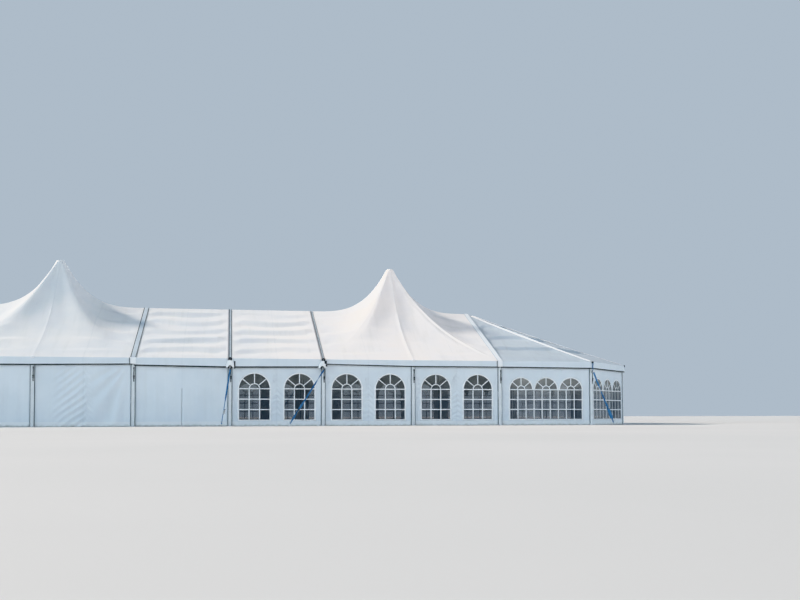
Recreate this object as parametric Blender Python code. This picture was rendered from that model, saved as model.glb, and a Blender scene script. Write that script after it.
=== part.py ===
"""A nine metre wide frame marquee: portal frames, two peaked roofs, two plain bays and faceted ends."""

import math

import bmesh
import bpy
from mathutils import Matrix, Vector

for old in list(bpy.data.objects):
    bpy.data.objects.remove(old)

# Driving dimensions of the whole tent, in metres
SPAN = 9.0  # over the outer faces of the front and back legs
PLAIN_BAY = 3.0  # one plain roof bay, frame to frame
PEAK_BAY = 6.0  # one peaked roof section, frame to frame
SIDE_FACET = 3.3  # the last side wall, past the end frame
CORNER_FACET = 3.0  # the slanting wall at each corner
CORNER_TURN = math.radians(45)  # how far the slanting wall turns from the side
EAVE_HEIGHT = 2.17  # top of the roof cloth above the valance
RIDGE_HEIGHT = 4.27
PEAK_HEIGHT = 5.92
VALANCE_DROP = 0.28

# Cloth
ROOF_CLOTH = 0.010
WALL_CLOTH = 0.010
CLEAR_CLOTH = 0.006
VALANCE_OUT = 0.04  # the valance hangs this far outside the legs
SEAM = 0.06  # the roof cloths of two bays leave this strip of rafter bare
WALL_INSET = 0.03  # the walls stand this far inside the legs' outer faces
CAP_RADIUS = 0.12  # the peak's round cap
CAP_RISE = 0.03
PEAK_POWER = 2.8  # how fast the cloth falls away along a crease
PEAK_SAG = 0.6  # how much faster it falls between two creases

# Frame
LEG_WIDTH = 0.10
LEG_DEPTH = 0.12
RAFTER_DEPTH = 0.12
HAUNCH = 0.25  # the stiffened corners at the eaves and at the ridge
BEAM_WIDTH = 0.06
BEAM_DEPTH = 0.10
BEAM_INSET = 0.02
POST_LIP = 0.006  # a corner post's inner faces are this wide past its bend
PLATE_THICK = 0.010
PLATE_OUT = 0.08
PLATE_IN = 0.10
CORNER_PLATE_IN = 0.010  # a corner post's plate reaches less far inside
PLATE_STEP = 0.002  # a plate is this much narrower than its post, each side
HIP_WIDTH = 0.06
HUB_COVER = 0.06  # the hip rafters run this far into the hub
HUB_LENGTH = 0.20
HUB_HALF = 0.12
HUB_DEPTH = 0.22

# Peak mast and the four cables that carry it
MAST_RADIUS = 0.04
MAST_FOOT = 3.22
MAST_HEAD_RADIUS = 0.085
CABLE_RADIUS = 0.008
CABLE_SPREAD = 1.0  # the cables meet the rafters this far from the ridge
CABLE_FOOT = 0.08  # the cables meet the mast this far above its foot
PAD_SIZE = 0.08
PAD_THICK = 0.02
MAST_SIDES = 12
HEAD_SIDES = 16
CABLE_SIDES = 8

# Windows, measured from the wall's foot
WINDOW_WIDTH = 1.0
WINDOW_SILL = 0.19
WINDOW_SPRING = 1.20
WINDOW_PLACES = (0.25, 0.75)  # shares of a side wall's length
TRIPLE_WIDTH = 2.6
TRIPLE_PIER = 0.08  # cloth between two arches of a triple window
ARCH_STEPS = 12
PANE_MARGIN = 0.07  # the clear sheet reaches this far past the windows
SLIT_WIDTH = 0.012  # between the two curtains of a plain bay
SLIT_HEIGHT = 1.15

# Ground straps
STRAP_WIDTH = 0.045
STRAP_THICK = 0.004
TAB_LENGTH = 0.10
TAB_HEIGHT = 0.06
TAB_DROP = 0.05  # from the valance's hem to the tab's top
TAB_WIDTH = 0.04
RATCHET_LENGTH = 0.17
RATCHET_WIDTH = 0.06
RATCHET_HEIGHT = 0.045
RATCHET_AT = 0.80  # share of the strap's way down
STAKE_RADIUS = 0.014
STAKE_HEIGHT = 0.15
STAKE_HEAD_RADIUS = 0.03
STAKE_HEAD = 0.012
STAKE_SIDES = 10
STRAP_FOOT = 0.10  # height at which the strap holds the stake
MIDDLE_STRAP_LEAN = 0.25  # the straps of the middle frame lean this far to the left
MIDDLE_STRAP_OUT = 1.0
NEXT_STRAP_LEAN = 1.15  # those of the next frame to the right
NEXT_STRAP_OUT = 1.2
CORNER_STRAP_OUT = 0.98

GAP = 0.0003  # between pieces that touch
SEAT = 0.0005  # between the cloth and the frame under it
BITE = 0.006  # how far joined solids run into each other

HALF = SPAN / 2
END_X = PLAIN_BAY + PEAK_BAY
EAVE_LINE = HALF + VALANCE_OUT
SLOPE = (RIDGE_HEIGHT - EAVE_HEIGHT) / EAVE_LINE
PITCH = math.atan(SLOPE)
FRAMES = (-END_X, -PLAIN_BAY, 0.0, PLAIN_BAY, END_X)
CLOTH_DROP = ROOF_CLOTH / math.cos(PITCH) + SEAT
BAY_EDGE = LEG_WIDTH / 2 + GAP  # from a frame's middle to what stands beside it
WIDEST_BEND = max(CORNER_TURN, math.pi / 2 - CORNER_TURN)
POST_HALF = (LEG_DEPTH + CORNER_PLATE_IN) * math.tan(WIDEST_BEND / 2) + POST_LIP  # along each wall
TAB_TOP = EAVE_HEIGHT - VALANCE_DROP - TAB_DROP
SHARP = math.radians(40)  # edges sharper than this stay hard on round pieces

COLOURS = {
    "white_cloth": ((0.86, 0.87, 0.90), 0.45, 0.0),
    "wall_cloth": ((0.78, 0.84, 0.89), 0.5, 0.0),
    "clear_cloth": ((0.45, 0.50, 0.54), 0.12, 0.0),
    "aluminium": ((0.66, 0.69, 0.72), 0.38, 0.9),
    "steel": ((0.30, 0.32, 0.34), 0.45, 0.9),
    "blue_webbing": ((0.05, 0.27, 0.55), 0.7, 0.0),
}


def material_for(node, finish):
    """A material of the node's own, in one of the tent's few finishes."""
    colour, roughness, metallic = COLOURS[finish]
    material = bpy.data.materials.new(f"{node}_{finish}")
    material.use_nodes = True
    shader = material.node_tree.nodes["Principled BSDF"]
    shader.inputs["Base Color"].default_value = (*colour, 1.0)
    shader.inputs["Roughness"].default_value = roughness
    shader.inputs["Metallic"].default_value = metallic
    return material


def mesh_of(bm, name):
    """The finished mesh of a closed solid, its faces pointing out."""
    bmesh.ops.recalc_face_normals(bm, faces=bm.faces)
    mesh = bpy.data.meshes.new(name)
    bm.to_mesh(mesh)
    bm.free()
    return mesh


def place(name, mesh, finish):
    item = bpy.data.objects.new(name, mesh)
    item.data.materials.append(material_for(name, finish))
    bpy.context.collection.objects.link(item)
    return item


def prism(outline, way):
    """The solid swept by a flat outline along one straight way."""
    bm = bmesh.new()
    face = bm.faces.new([bm.verts.new(point) for point in outline])
    swept = bmesh.ops.extrude_face_region(bm, geom=[face])
    moved = [part for part in swept["geom"] if isinstance(part, bmesh.types.BMVert)]
    bmesh.ops.translate(bm, vec=Vector(way), verts=moved)
    return mesh_of(bm, "prism")


def block(low, high):
    low = Vector(low)
    size = Vector(high) - low
    foot = [(low.x + size.x * u, low.y + size.y * v, low.z) for u, v in ((0, 0), (1, 0), (1, 1), (0, 1))]
    return prism(foot, (0, 0, size.z))


def rod(start, end, radius, sides):
    """A round bar."""
    start = Vector(start)
    way = Vector(end) - start
    bm = bmesh.new()
    bmesh.ops.create_cone(
        bm, cap_ends=True, segments=sides, radius1=radius, radius2=radius, depth=way.length
    )
    turn = Vector((0, 0, 1)).rotation_difference(way).to_matrix().to_4x4()
    bmesh.ops.transform(bm, matrix=Matrix.Translation(start + way / 2) @ turn, verts=bm.verts)
    mesh = mesh_of(bm, "rod")
    mesh.shade_smooth()
    mesh.set_sharp_from_angle(angle=SHARP)
    return mesh


def slanting_bar(start, end, width, depth):
    """A bar with upright ends, given by the middle line of its top face."""
    start = Vector(start)
    end = Vector(end)
    side = Vector((start.y - end.y, end.x - start.x, 0)).normalized() * width / 2
    down = Vector((0, 0, -depth))
    return prism([start + side, start - side, start - side + down, start + side + down], end - start)


def webbing(start, end, width, thickness):
    """A flat strap, its width level."""
    start = Vector(start)
    way = Vector(end) - start
    side = way.cross(Vector((0, 0, 1))).normalized() * width / 2
    face = side.cross(way).normalized() * thickness / 2
    return prism([start + side + face, start - side + face, start - side - face, start + side - face], way)


def joined(name, meshes, finish):
    """One body made from solids that run into each other."""
    item = place(name, meshes[0], finish)
    tools = bpy.data.collections.new(f"{name}_pieces")
    bpy.context.scene.collection.children.link(tools)
    for mesh in meshes[1:]:
        tool = bpy.data.objects.new(f"{name}_piece", mesh)
        tool.hide_render = True
        tool.display_type = "WIRE"
        tools.objects.link(tool)
    union = item.modifiers.new("union", "BOOLEAN")
    union.operation = "UNION"
    union.operand_type = "COLLECTION"
    union.collection = tools
    union.solver = "EXACT"
    return item


def roof_top(y):
    """Height of the plain roof cloth's upper face."""
    return RIDGE_HEIGHT - SLOPE * abs(y)


def roof_seat(y):
    """Height of the frame's upper face, just under the cloth."""
    return roof_top(y) - CLOTH_DROP


BEAM_FOOT = roof_seat(HALF - BEAM_INSET) - BEAM_DEPTH
WALL_TOP = BEAM_FOOT - GAP


def end_corners(out):
    """Plan corners of the right end, front to back, at a distance outside the legs' outer faces."""
    first_bend = math.tan(CORNER_TURN / 2)
    second_bend = math.tan((math.pi / 2 - CORNER_TURN) / 2)
    side_x = END_X + SIDE_FACET
    far_x = side_x + CORNER_FACET * math.cos(CORNER_TURN)
    far_y = HALF - CORNER_FACET * math.sin(CORNER_TURN)
    front = [
        Vector((END_X, -HALF - out)),
        Vector((side_x + out * first_bend, -HALF - out)),
        Vector((far_x + out, -far_y - out * second_bend)),
    ]
    return front + [Vector((point.x, -point.y)) for point in reversed(front)]


END_CORNERS = end_corners(0.0)
APEX = Vector((END_X + BAY_EDGE, 0.0))  # where the hips of the end roof meet, just past the end frame


def wall_ways():
    """Each end wall's direction and outward direction, front to back."""
    ways = []
    for first, second in zip(END_CORNERS, END_CORNERS[1:]):
        along = (second - first).normalized()
        ways.append((along, Vector((along.y, -along.x))))
    return ways


END_WAYS = wall_ways()


def end_slopes():
    """How steep each facet of the end roof is."""
    eave = end_corners(VALANCE_OUT)
    return [
        (RIDGE_HEIGHT - EAVE_HEIGHT) / (corner - APEX).dot(outward)
        for corner, (along, outward) in zip(eave, END_WAYS)
    ]


END_SLOPES = end_slopes()


def end_roof_top(x, y):
    """Height of the right end's roof, the lowest of its facets."""
    reach = Vector((x, y)) - APEX
    return min(
        RIDGE_HEIGHT - slope * reach.dot(outward) for slope, (along, outward) in zip(END_SLOPES, END_WAYS)
    )


def end_roof_seat(x, y):
    return end_roof_top(x, y) - CLOTH_DROP


def mirrored(mesh, across):
    """A copy of a mesh on the other side of X = 0 or of Y = 0."""
    bm = bmesh.new()
    bm.from_mesh(mesh)
    scale = Vector((-1, 1, 1)) if across == "x" else Vector((1, -1, 1))
    bmesh.ops.scale(bm, vec=scale, verts=bm.verts)
    bmesh.ops.reverse_faces(bm, faces=bm.faces)
    copy = bpy.data.meshes.new(f"{mesh.name}_{across}")
    bm.to_mesh(copy)
    bm.free()
    return copy


def portal_mesh(x):
    """Two legs with foot plates and two rafters, stiffened at the eaves and the ridge."""
    inner = HALF - LEG_DEPTH
    drop = RAFTER_DEPTH / math.cos(PITCH)
    right = [
        (HALF + PLATE_OUT, 0.0),
        (HALF + PLATE_OUT, PLATE_THICK),
        (HALF, PLATE_THICK),
        (HALF, roof_seat(HALF)),
    ]
    under = [
        (HAUNCH, roof_seat(HAUNCH) - drop),
        (inner - HAUNCH, roof_seat(inner - HAUNCH) - drop),
        (inner, roof_seat(inner) - drop - HAUNCH),
        (inner, PLATE_THICK),
        (inner - PLATE_IN, PLATE_THICK),
        (inner - PLATE_IN, 0.0),
    ]
    left = [(-y, z) for y, z in reversed(right)]
    left_under = [(-y, z) for y, z in reversed(under)]
    outline = right + [(0.0, roof_seat(0.0))] + left + left_under + under
    points = [(x - LEG_WIDTH / 2, y, z) for y, z in outline]
    return prism(points, (LEG_WIDTH, 0, 0))


def eave_beam_mesh(low_x, high_x, below=0.0):
    """The front eave beam, its top sloping with the roof."""
    outer = HALF - BEAM_INSET
    inner = outer - BEAM_WIDTH
    outline = [
        (low_x, -outer, BEAM_FOOT),
        (low_x, -inner, BEAM_FOOT),
        (low_x, -inner, roof_seat(inner) - below),
        (low_x, -outer, roof_seat(outer) - below),
    ]
    return prism(outline, (high_x - low_x, 0, 0))


def ridge_purlin_mesh(low_x, high_x):
    half = BEAM_WIDTH / 2
    foot = roof_seat(0.0) - RAFTER_DEPTH
    edge = roof_seat(half) - SEAT
    outline = [
        (low_x, -half, foot),
        (low_x, half, foot),
        (low_x, half, edge),
        (low_x, 0.0, roof_seat(0.0) - SEAT),
        (low_x, -half, edge),
    ]
    return prism(outline, (high_x - low_x, 0, 0))


def portal_frames():
    """Five portal frames. The middle one carries the eave beams and the ridge purlins of the plain bays."""
    for number, x in enumerate(FRAMES):
        if x != 0:
            place(f"portal_frame_{number + 1}", portal_mesh(x), "aluminium")
    meshes = [portal_mesh(0.0)]
    for way in (-1, 1):
        ends = sorted((way * (LEG_WIDTH / 2 - BITE), way * (PLAIN_BAY - BAY_EDGE)))
        beam = eave_beam_mesh(*ends, below=SEAT)
        meshes += [beam, mirrored(beam, "y"), ridge_purlin_mesh(*ends)]
    joined("middle_portal_frame_and_purlins", meshes, "aluminium")


def mid_leg_beams():
    """In the peak sections, an eave beam over a middle leg."""
    for side in ("front", "back"):
        for bay, low_x in (("left", -END_X), ("right", PLAIN_BAY)):
            middle = low_x + PEAK_BAY / 2
            leg_half = LEG_WIDTH / 2
            plate_half = leg_half - PLATE_STEP
            meshes = [
                eave_beam_mesh(low_x + BAY_EDGE, low_x + PEAK_BAY - BAY_EDGE),
                block(
                    (middle - leg_half, -HALF, PLATE_THICK - BITE),
                    (middle + leg_half, -HALF + LEG_DEPTH, roof_seat(HALF)),
                ),
                block(
                    (middle - plate_half, -HALF - PLATE_OUT, 0.0),
                    (middle + plate_half, -HALF + LEG_DEPTH + PLATE_IN, PLATE_THICK),
                ),
            ]
            if side == "back":
                meshes = [mirrored(mesh, "y") for mesh in meshes]
            joined(f"{side}_eave_beam_and_mid_leg_{bay}", meshes, "aluminium")


def post_section(corner, outer, inner, half_width):
    """Plan outline of a bent corner post, between two distances outside the legs' outer faces."""
    before, before_out = END_WAYS[corner - 1]
    after, after_out = END_WAYS[corner]
    middle = END_CORNERS[corner]
    return [
        end_corners(outer)[corner],
        middle + after * half_width + after_out * outer,
        middle + after * half_width + after_out * inner,
        end_corners(inner)[corner],
        middle - before * half_width + before_out * inner,
        middle - before * half_width + before_out * outer,
    ]


def upright(outline, low, high):
    return prism([(point.x, point.y, low) for point in outline], (0, 0, high - low))


def band(outer, inner, low_x):
    """Plan outline of a strip that follows the end walls, from one side of the end frame to the other."""
    outside = end_corners(outer)
    inside = end_corners(inner)
    for row in (outside, inside):
        row[0].x = low_x
        row[-1].x = low_x
    return outside + list(reversed(inside))


def end_wall_frame_meshes():
    """Four corner posts with foot plates, under one beam bent along the walls."""
    outer = -BEAM_INSET
    beam_top = min(end_roof_seat(point.x, point.y) for point in end_corners(outer)[1:-1])
    meshes = [upright(band(outer, outer - BEAM_WIDTH, END_X + BAY_EDGE), BEAM_FOOT, beam_top)]
    for corner in range(1, 5):
        section = post_section(corner, 0.0, -LEG_DEPTH, POST_HALF)
        top = min(end_roof_seat(point.x, point.y) for point in section)
        meshes.append(upright(section, PLATE_THICK - BITE, top))
        plate = post_section(corner, PLATE_OUT, -LEG_DEPTH - CORNER_PLATE_IN, POST_HALF - PLATE_STEP)
        meshes.append(upright(plate, 0.0, PLATE_THICK))
    return meshes


def hip_length(corner, way):
    """How far a hip rafter runs from the apex before it meets the corner post's inner faces."""
    side = Vector((-way.y, way.x)) * HIP_WIDTH / 2
    reach = []
    for along, outward in (END_WAYS[corner - 1], END_WAYS[corner]):
        face = (END_CORNERS[corner] - APEX).dot(outward) - LEG_DEPTH - GAP
        for edge in (side, -side):
            reach.append((face - edge.dot(outward)) / way.dot(outward))
    return min(reach)


def end_roof_frame_meshes():
    """Four hip rafters that fan out from a hub on the end frame's ridge."""
    low_x = END_X + BAY_EDGE
    high_x = low_x + HUB_LENGTH
    hub_top = min(end_roof_seat(x, y) for x in (low_x, high_x) for y in (-HUB_HALF, HUB_HALF))
    meshes = [block((low_x, -HUB_HALF, hub_top - HUB_DEPTH), (high_x, HUB_HALF, hub_top))]
    eave = end_corners(VALANCE_OUT)
    for corner in range(1, 5):
        way = (eave[corner] - APEX).normalized()
        side = Vector((-way.y, way.x)) * HIP_WIDTH / 2
        ends = []
        for reach in (HUB_LENGTH - HUB_COVER, hip_length(corner, way)):
            point = APEX + way * reach
            edges = (point + side, point - side)
            seat = min(end_roof_seat(edge.x, edge.y) for edge in edges)
            ends.append((point.x, point.y, seat))
        meshes.append(slanting_bar(ends[0], ends[1], HIP_WIDTH, RAFTER_DEPTH))
    return meshes


def end_frames():
    for end in ("right", "left"):
        walls = end_wall_frame_meshes()
        roof = end_roof_frame_meshes()
        if end == "left":
            walls = [mirrored(mesh, "x") for mesh in walls]
            roof = [mirrored(mesh, "x") for mesh in roof]
        joined(f"{end}_end_wall_frame", walls, "aluminium")
        joined(f"{end}_end_hip_rafters", roof, "aluminium")


def peak_masts():
    """A short mast under each peak, slung on four cables from the rafters beside it."""
    head_top = PEAK_HEIGHT - ROOF_CLOTH - SEAT
    for bay, middle in (("left", -PLAIN_BAY - PEAK_BAY / 2), ("right", PLAIN_BAY + PEAK_BAY / 2)):
        meshes = [
            rod((middle, 0, MAST_FOOT), (middle, 0, head_top - BITE), MAST_RADIUS, MAST_SIDES),
            rod((middle, 0, head_top - 2 * BITE), (middle, 0, head_top), MAST_HEAD_RADIUS, HEAD_SIDES),
        ]
        rafter_z = roof_seat(CABLE_SPREAD) - RAFTER_DEPTH / 2
        for way in (-1, 1):
            face_x = middle + way * (PEAK_BAY / 2 - BAY_EDGE)
            pad_x = face_x - way * PAD_THICK
            for side in (-1, 1):
                y = side * CABLE_SPREAD
                corners = (min(face_x, pad_x), y - PAD_SIZE / 2, rafter_z - PAD_SIZE / 2)
                far = (max(face_x, pad_x), y + PAD_SIZE / 2, rafter_z + PAD_SIZE / 2)
                meshes.append(block(corners, far))
                start = (middle, 0, MAST_FOOT + CABLE_FOOT)
                end = (face_x - way * PAD_THICK / 2, y, rafter_z)
                meshes.append(rod(start, end, CABLE_RADIUS, CABLE_SIDES))
        joined(f"peak_mast_{bay}", meshes, "steel")


def thickened(name, mesh):
    """A cloth sheet with its thickness grown inwards."""
    item = place(name, mesh, "white_cloth")
    shell = item.modifiers.new("thickness", "SOLIDIFY")
    shell.thickness = ROOF_CLOTH
    shell.offset = -1
    shell.use_even_offset = True
    shell.use_quality_normals = True


def hem_down(bm, rim):
    """The valance, let down from the eave edges."""
    swept = bmesh.ops.extrude_edge_only(bm, edges=rim)
    lowered = [part for part in swept["geom"] if isinstance(part, bmesh.types.BMVert)]
    bmesh.ops.translate(bm, vec=(0, 0, -VALANCE_DROP), verts=lowered)


def on_eave(edge):
    """Whether an open edge of the sheet lies at the eave's height."""
    return edge.is_boundary and all(abs(vert.co.z - EAVE_HEIGHT) < GAP for vert in edge.verts)


def sheet_mesh(bm, name):
    """The sheet with its upper side outwards, valance and all."""
    bmesh.ops.recalc_face_normals(bm, faces=bm.faces)
    if sum(face.normal.z * face.calc_area() for face in bm.faces) < 0:
        bmesh.ops.reverse_faces(bm, faces=bm.faces)
    mesh = bpy.data.meshes.new(name)
    bm.to_mesh(mesh)
    bm.free()
    mesh.shade_smooth()
    mesh.set_sharp_from_angle(angle=SHARP)
    return mesh


def plain_canopy(name, low_x, high_x):
    bm = bmesh.new()
    rows = [
        [bm.verts.new((x, y, roof_top(y))) for y in (-EAVE_LINE, 0.0, EAVE_LINE)]
        for x in (low_x + SEAM / 2, high_x - SEAM / 2)
    ]
    for first in range(2):
        bm.faces.new((rows[0][first], rows[1][first], rows[1][first + 1], rows[0][first + 1]))
    hem_down(bm, [edge for edge in bm.edges if on_eave(edge)])
    thickened(name, sheet_mesh(bm, name))


PEAK_RINGS = (0.0, 0.045, 0.10, 0.17, 0.27, 0.40, 0.56, 0.76, 1.0)
EAVE_STEPS = 8
RAFTER_STEPS = 12


def peak_rim(half_x):
    """Plan points round a peak section's edge, and how far each lies from the nearest crease, 0 to 1."""
    corners = [Vector((-half_x, -EAVE_LINE)), Vector((half_x, -EAVE_LINE)), Vector((half_x, EAVE_LINE))]
    rim = []
    for first, second, steps in zip(corners, corners[1:], (EAVE_STEPS, RAFTER_STEPS)):
        for number in range(steps):
            share = number / steps
            rim.append((first.lerp(second, share), abs(math.sin(2 * math.pi * share))))
    return rim + [(-point, between) for point, between in rim]


def peak_height_at(point, share, between):
    """Height of the peaked roof at a share of the way from the cap to the section's edge."""
    reach = point.length
    cap_share = CAP_RADIUS / reach
    here = point * (cap_share + (1 - cap_share) * share)
    cap_edge = point * cap_share
    rise = PEAK_HEIGHT - CAP_RISE - roof_top(cap_edge.y)
    power = PEAK_POWER + PEAK_SAG * between
    return here, roof_top(here.y) + rise * (1 - share) ** power


def peak_canopy(name, low_x, high_x):
    """A roof cloth drawn up to a capped peak from the rafters and the eaves."""
    middle = (low_x + high_x) / 2
    rim = peak_rim((high_x - low_x - SEAM) / 2)
    bm = bmesh.new()
    rings = []
    for share in PEAK_RINGS:
        ring = []
        for point, between in rim:
            here, height = peak_height_at(point, share, between)
            ring.append(bm.verts.new((middle + here.x, here.y, height)))
        rings.append(ring)
    cap = []
    for vert in rings[0]:
        inward = Vector((vert.co.x - middle, vert.co.y)) * (1 - CAP_RISE / CAP_RADIUS)
        cap.append(bm.verts.new((middle + inward.x, inward.y, PEAK_HEIGHT)))
    rings.insert(0, cap)
    bm.faces.new(cap)
    for inside, outside in zip(rings, rings[1:]):
        for number in range(len(rim)):
            after = (number + 1) % len(rim)
            bm.faces.new((inside[number], outside[number], outside[after], inside[after]))
    hem_down(bm, [edge for edge in bm.edges if on_eave(edge)])
    thickened(name, sheet_mesh(bm, name))


def end_canopy(name, end):
    """Flat roof facets that meet on the hip rafters, with one valance round the end."""
    bm = bmesh.new()
    start = END_X + SEAM / 2
    ridge = bm.verts.new((start, 0, RIDGE_HEIGHT))
    apex = bm.verts.new((APEX.x, APEX.y, RIDGE_HEIGHT))
    corners = end_corners(VALANCE_OUT)
    corners[0].x = start
    corners[-1].x = start
    eave = [bm.verts.new((point.x, point.y, EAVE_HEIGHT)) for point in corners]
    bm.faces.new((ridge, eave[0], eave[1], apex))
    for first, second in zip(eave[1:-1], eave[2:-1]):
        bm.faces.new((apex, first, second))
    bm.faces.new((ridge, apex, eave[-2], eave[-1]))
    hem_down(bm, [edge for edge in bm.edges if on_eave(edge)])
    if end == "left":
        bmesh.ops.scale(bm, vec=(-1, 1, 1), verts=bm.verts)
    thickened(name, sheet_mesh(bm, name))


def canopies():
    plain_canopy("plain_canopy_left", -PLAIN_BAY, 0.0)
    plain_canopy("plain_canopy_right", 0.0, PLAIN_BAY)
    peak_canopy("peak_canopy_left", -END_X, -PLAIN_BAY)
    peak_canopy("peak_canopy_right", PLAIN_BAY, END_X)
    end_canopy("end_canopy_left", "left")
    end_canopy("end_canopy_right", "right")


def arch_points(middle, half_width, spring):
    """A half circle, from its right foot over the top to its left foot."""
    return [
        (
            middle + half_width * math.cos(math.pi * step / ARCH_STEPS),
            spring + half_width * math.sin(math.pi * step / ARCH_STEPS),
        )
        for step in range(ARCH_STEPS + 1)
    ]


def window_outline(middle, kind):
    """Outline of one window hole in a wall's own plane."""
    if kind == "single":
        half = WINDOW_WIDTH / 2
        arches = [middle]
        arch_half = half
    else:
        half = TRIPLE_WIDTH / 2
        arch_half = (TRIPLE_WIDTH - 2 * TRIPLE_PIER) / 6
        step = 2 * arch_half + TRIPLE_PIER
        arches = [middle + step, middle, middle - step]
    outline = [(middle - half, WINDOW_SILL), (middle + half, WINDOW_SILL)]
    for arch in arches:
        outline += arch_points(arch, arch_half, WINDOW_SPRING)
    return outline


def wall(name, start, along, outward, length, holes):
    """One wall cloth between two posts, with its windows cut through."""
    mesh = block((0.0, -WALL_INSET - WALL_CLOTH, 0.0), (length, -WALL_INSET, WALL_TOP))
    item = place(name, mesh, "wall_cloth")
    frame = Matrix.Identity(4)
    for row in range(2):
        frame[row][0] = along[row]
        frame[row][1] = outward[row]
        frame[row][3] = start[row]
    deep = -WALL_INSET - 2 * WALL_CLOTH
    tool_meshes = [prism([(x, deep, z) for x, z in outline], (0, 3 * WALL_CLOTH, 0)) for outline in holes]
    for made in [mesh] + tool_meshes:
        if along.cross(outward) < 0:
            made.flip_normals()
        made.transform(frame)
    for number, tool_mesh in enumerate(tool_meshes):
        tool = bpy.data.objects.new(f"{name}_hole_{number}", tool_mesh)
        tool.hide_render = True
        tool.display_type = "WIRE"
        bpy.context.collection.objects.link(tool)
        cut = item.modifiers.new(f"hole_{number}", "BOOLEAN")
        cut.operation = "DIFFERENCE"
        cut.solver = "EXACT"
        cut.object = tool


def side_walls():
    """Front and back walls, bay by bay: plain curtains on the left, window walls on the right."""
    length = PLAIN_BAY - 2 * BAY_EDGE
    count = round(2 * END_X / PLAIN_BAY)
    for side, mark in (("front", 1), ("back", -1)):
        for number in range(count):
            low_x = -END_X + number * PLAIN_BAY
            start = Vector((low_x + BAY_EDGE, -HALF * mark))
            windowed = low_x >= -GAP
            curtained = abs(low_x + PLAIN_BAY) < GAP
            holes = []
            if windowed:
                holes = [window_outline(length * share, "single") for share in WINDOW_PLACES]
            if curtained:
                low, high = length / 2 - SLIT_WIDTH / 2, length / 2 + SLIT_WIDTH / 2
                holes = [[(low, -WALL_CLOTH), (high, -WALL_CLOTH), (high, SLIT_HEIGHT), (low, SLIT_HEIGHT)]]
            kind = "window_wall" if windowed else "curtain"
            wall(f"{side}_{kind}_{number + 1}", start, Vector((1, 0)), Vector((0, -mark)), length, holes)


def end_walls():
    """Five walls round each end, each with a triple window."""
    names = ("front_side", "front_corner", "end", "back_corner", "back_side")
    for number, name in enumerate(names):
        along, outward = END_WAYS[number]
        first, second = END_CORNERS[number], END_CORNERS[number + 1]
        low = BAY_EDGE if number == 0 else POST_HALF + GAP
        high = BAY_EDGE if number == len(names) - 1 else POST_HALF + GAP
        length = (second - first).length - low - high
        start = first + along * low
        hole = window_outline(length / 2, "triple")
        wall(f"right_{name}_wall", start, along, outward, length, [hole])
        flipped = [Vector((-vector.x, vector.y)) for vector in (start, along, outward)]
        wall(f"left_{name}_wall", *flipped, length, [hole])


def clear_sheets():
    """One clear sheet behind each run of windows, against the legs' inner faces."""
    low = WINDOW_SILL - PANE_MARGIN
    high = WINDOW_SPRING + WINDOW_WIDTH / 2 + PANE_MARGIN
    outer = -LEG_DEPTH - GAP
    y_outer = HALF + outer
    first_x = BAY_EDGE
    last_x = END_X - BAY_EDGE
    mesh = block((first_x, -y_outer, low), (last_x, -y_outer + CLEAR_CLOTH, high))
    place("front_clear_sheet", mesh, "clear_cloth")
    place("back_clear_sheet", mirrored(mesh, "y"), "clear_cloth")
    bent = upright(band(outer, outer - CLEAR_CLOTH, END_X + BAY_EDGE), low, high)
    place("right_end_clear_sheet", bent, "clear_cloth")
    place("left_end_clear_sheet", mirrored(bent, "x"), "clear_cloth")


def ground_strap(name, root, outward, foot):
    """Tab at the leg's head, webbing with its ratchet, and the head of the stake that holds it."""
    root = Vector((*root, 0))
    outward = Vector((*outward, 0)).normalized()
    side = outward.cross(Vector((0, 0, 1))) * TAB_WIDTH / 2
    near = root + outward * GAP
    near.z = TAB_TOP
    down = Vector((0, 0, -TAB_HEIGHT))
    tab = prism([near + side, near - side, near - side + down, near + side + down], outward * TAB_LENGTH)
    top = near + outward * (TAB_LENGTH - 2 * BITE) + down / 2
    foot = Vector((*foot, STRAP_FOOT))
    way = (foot - top).normalized()
    middle = top.lerp(foot, RATCHET_AT)
    half = way * RATCHET_LENGTH / 2
    stake_foot = Vector((foot.x, foot.y, 0))
    stake_top = stake_foot + Vector((0, 0, STAKE_HEIGHT))
    head_foot = stake_top - Vector((0, 0, BITE))
    meshes = [
        tab,
        webbing(top, foot, STRAP_WIDTH, STRAP_THICK),
        webbing(middle - half, middle + half, RATCHET_WIDTH, RATCHET_HEIGHT),
        rod(stake_foot, stake_top, STAKE_RADIUS, STAKE_SIDES),
        rod(head_foot, head_foot + Vector((0, 0, STAKE_HEAD)), STAKE_HEAD_RADIUS, STAKE_SIDES),
    ]
    joined(name, meshes, "blue_webbing")


def ground_straps():
    places = ((0.0, MIDDLE_STRAP_LEAN, MIDDLE_STRAP_OUT), (PLAIN_BAY, NEXT_STRAP_LEAN, NEXT_STRAP_OUT))
    for side, mark in (("front", -1), ("back", 1)):
        for number, (frame_x, lean, out) in enumerate(places):
            root = (frame_x, mark * HALF)
            foot = (frame_x - lean, mark * (HALF + out))
            ground_strap(f"{side}_ground_strap_{number + 1}", root, (0, mark), foot)
        corner = END_CORNERS[1]
        turn = CORNER_TURN / 2
        for end, hand in (("left", -1), ("right", 1)):
            outward = Vector((hand * math.sin(turn), mark * math.cos(turn)))
            root = Vector((hand * corner.x, mark * HALF))
            ground_strap(f"{side}_{end}_corner_strap", root, outward, root + outward * CORNER_STRAP_OUT)


portal_frames()
mid_leg_beams()
end_frames()
peak_masts()
canopies()
side_walls()
end_walls()
clear_sheets()
ground_straps()
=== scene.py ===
from math import atan2, copysign, cos, exp, hypot, pi, radians, sin, sqrt, tan

import bmesh
import bpy
from mathutils import Matrix, Vector, noise


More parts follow.
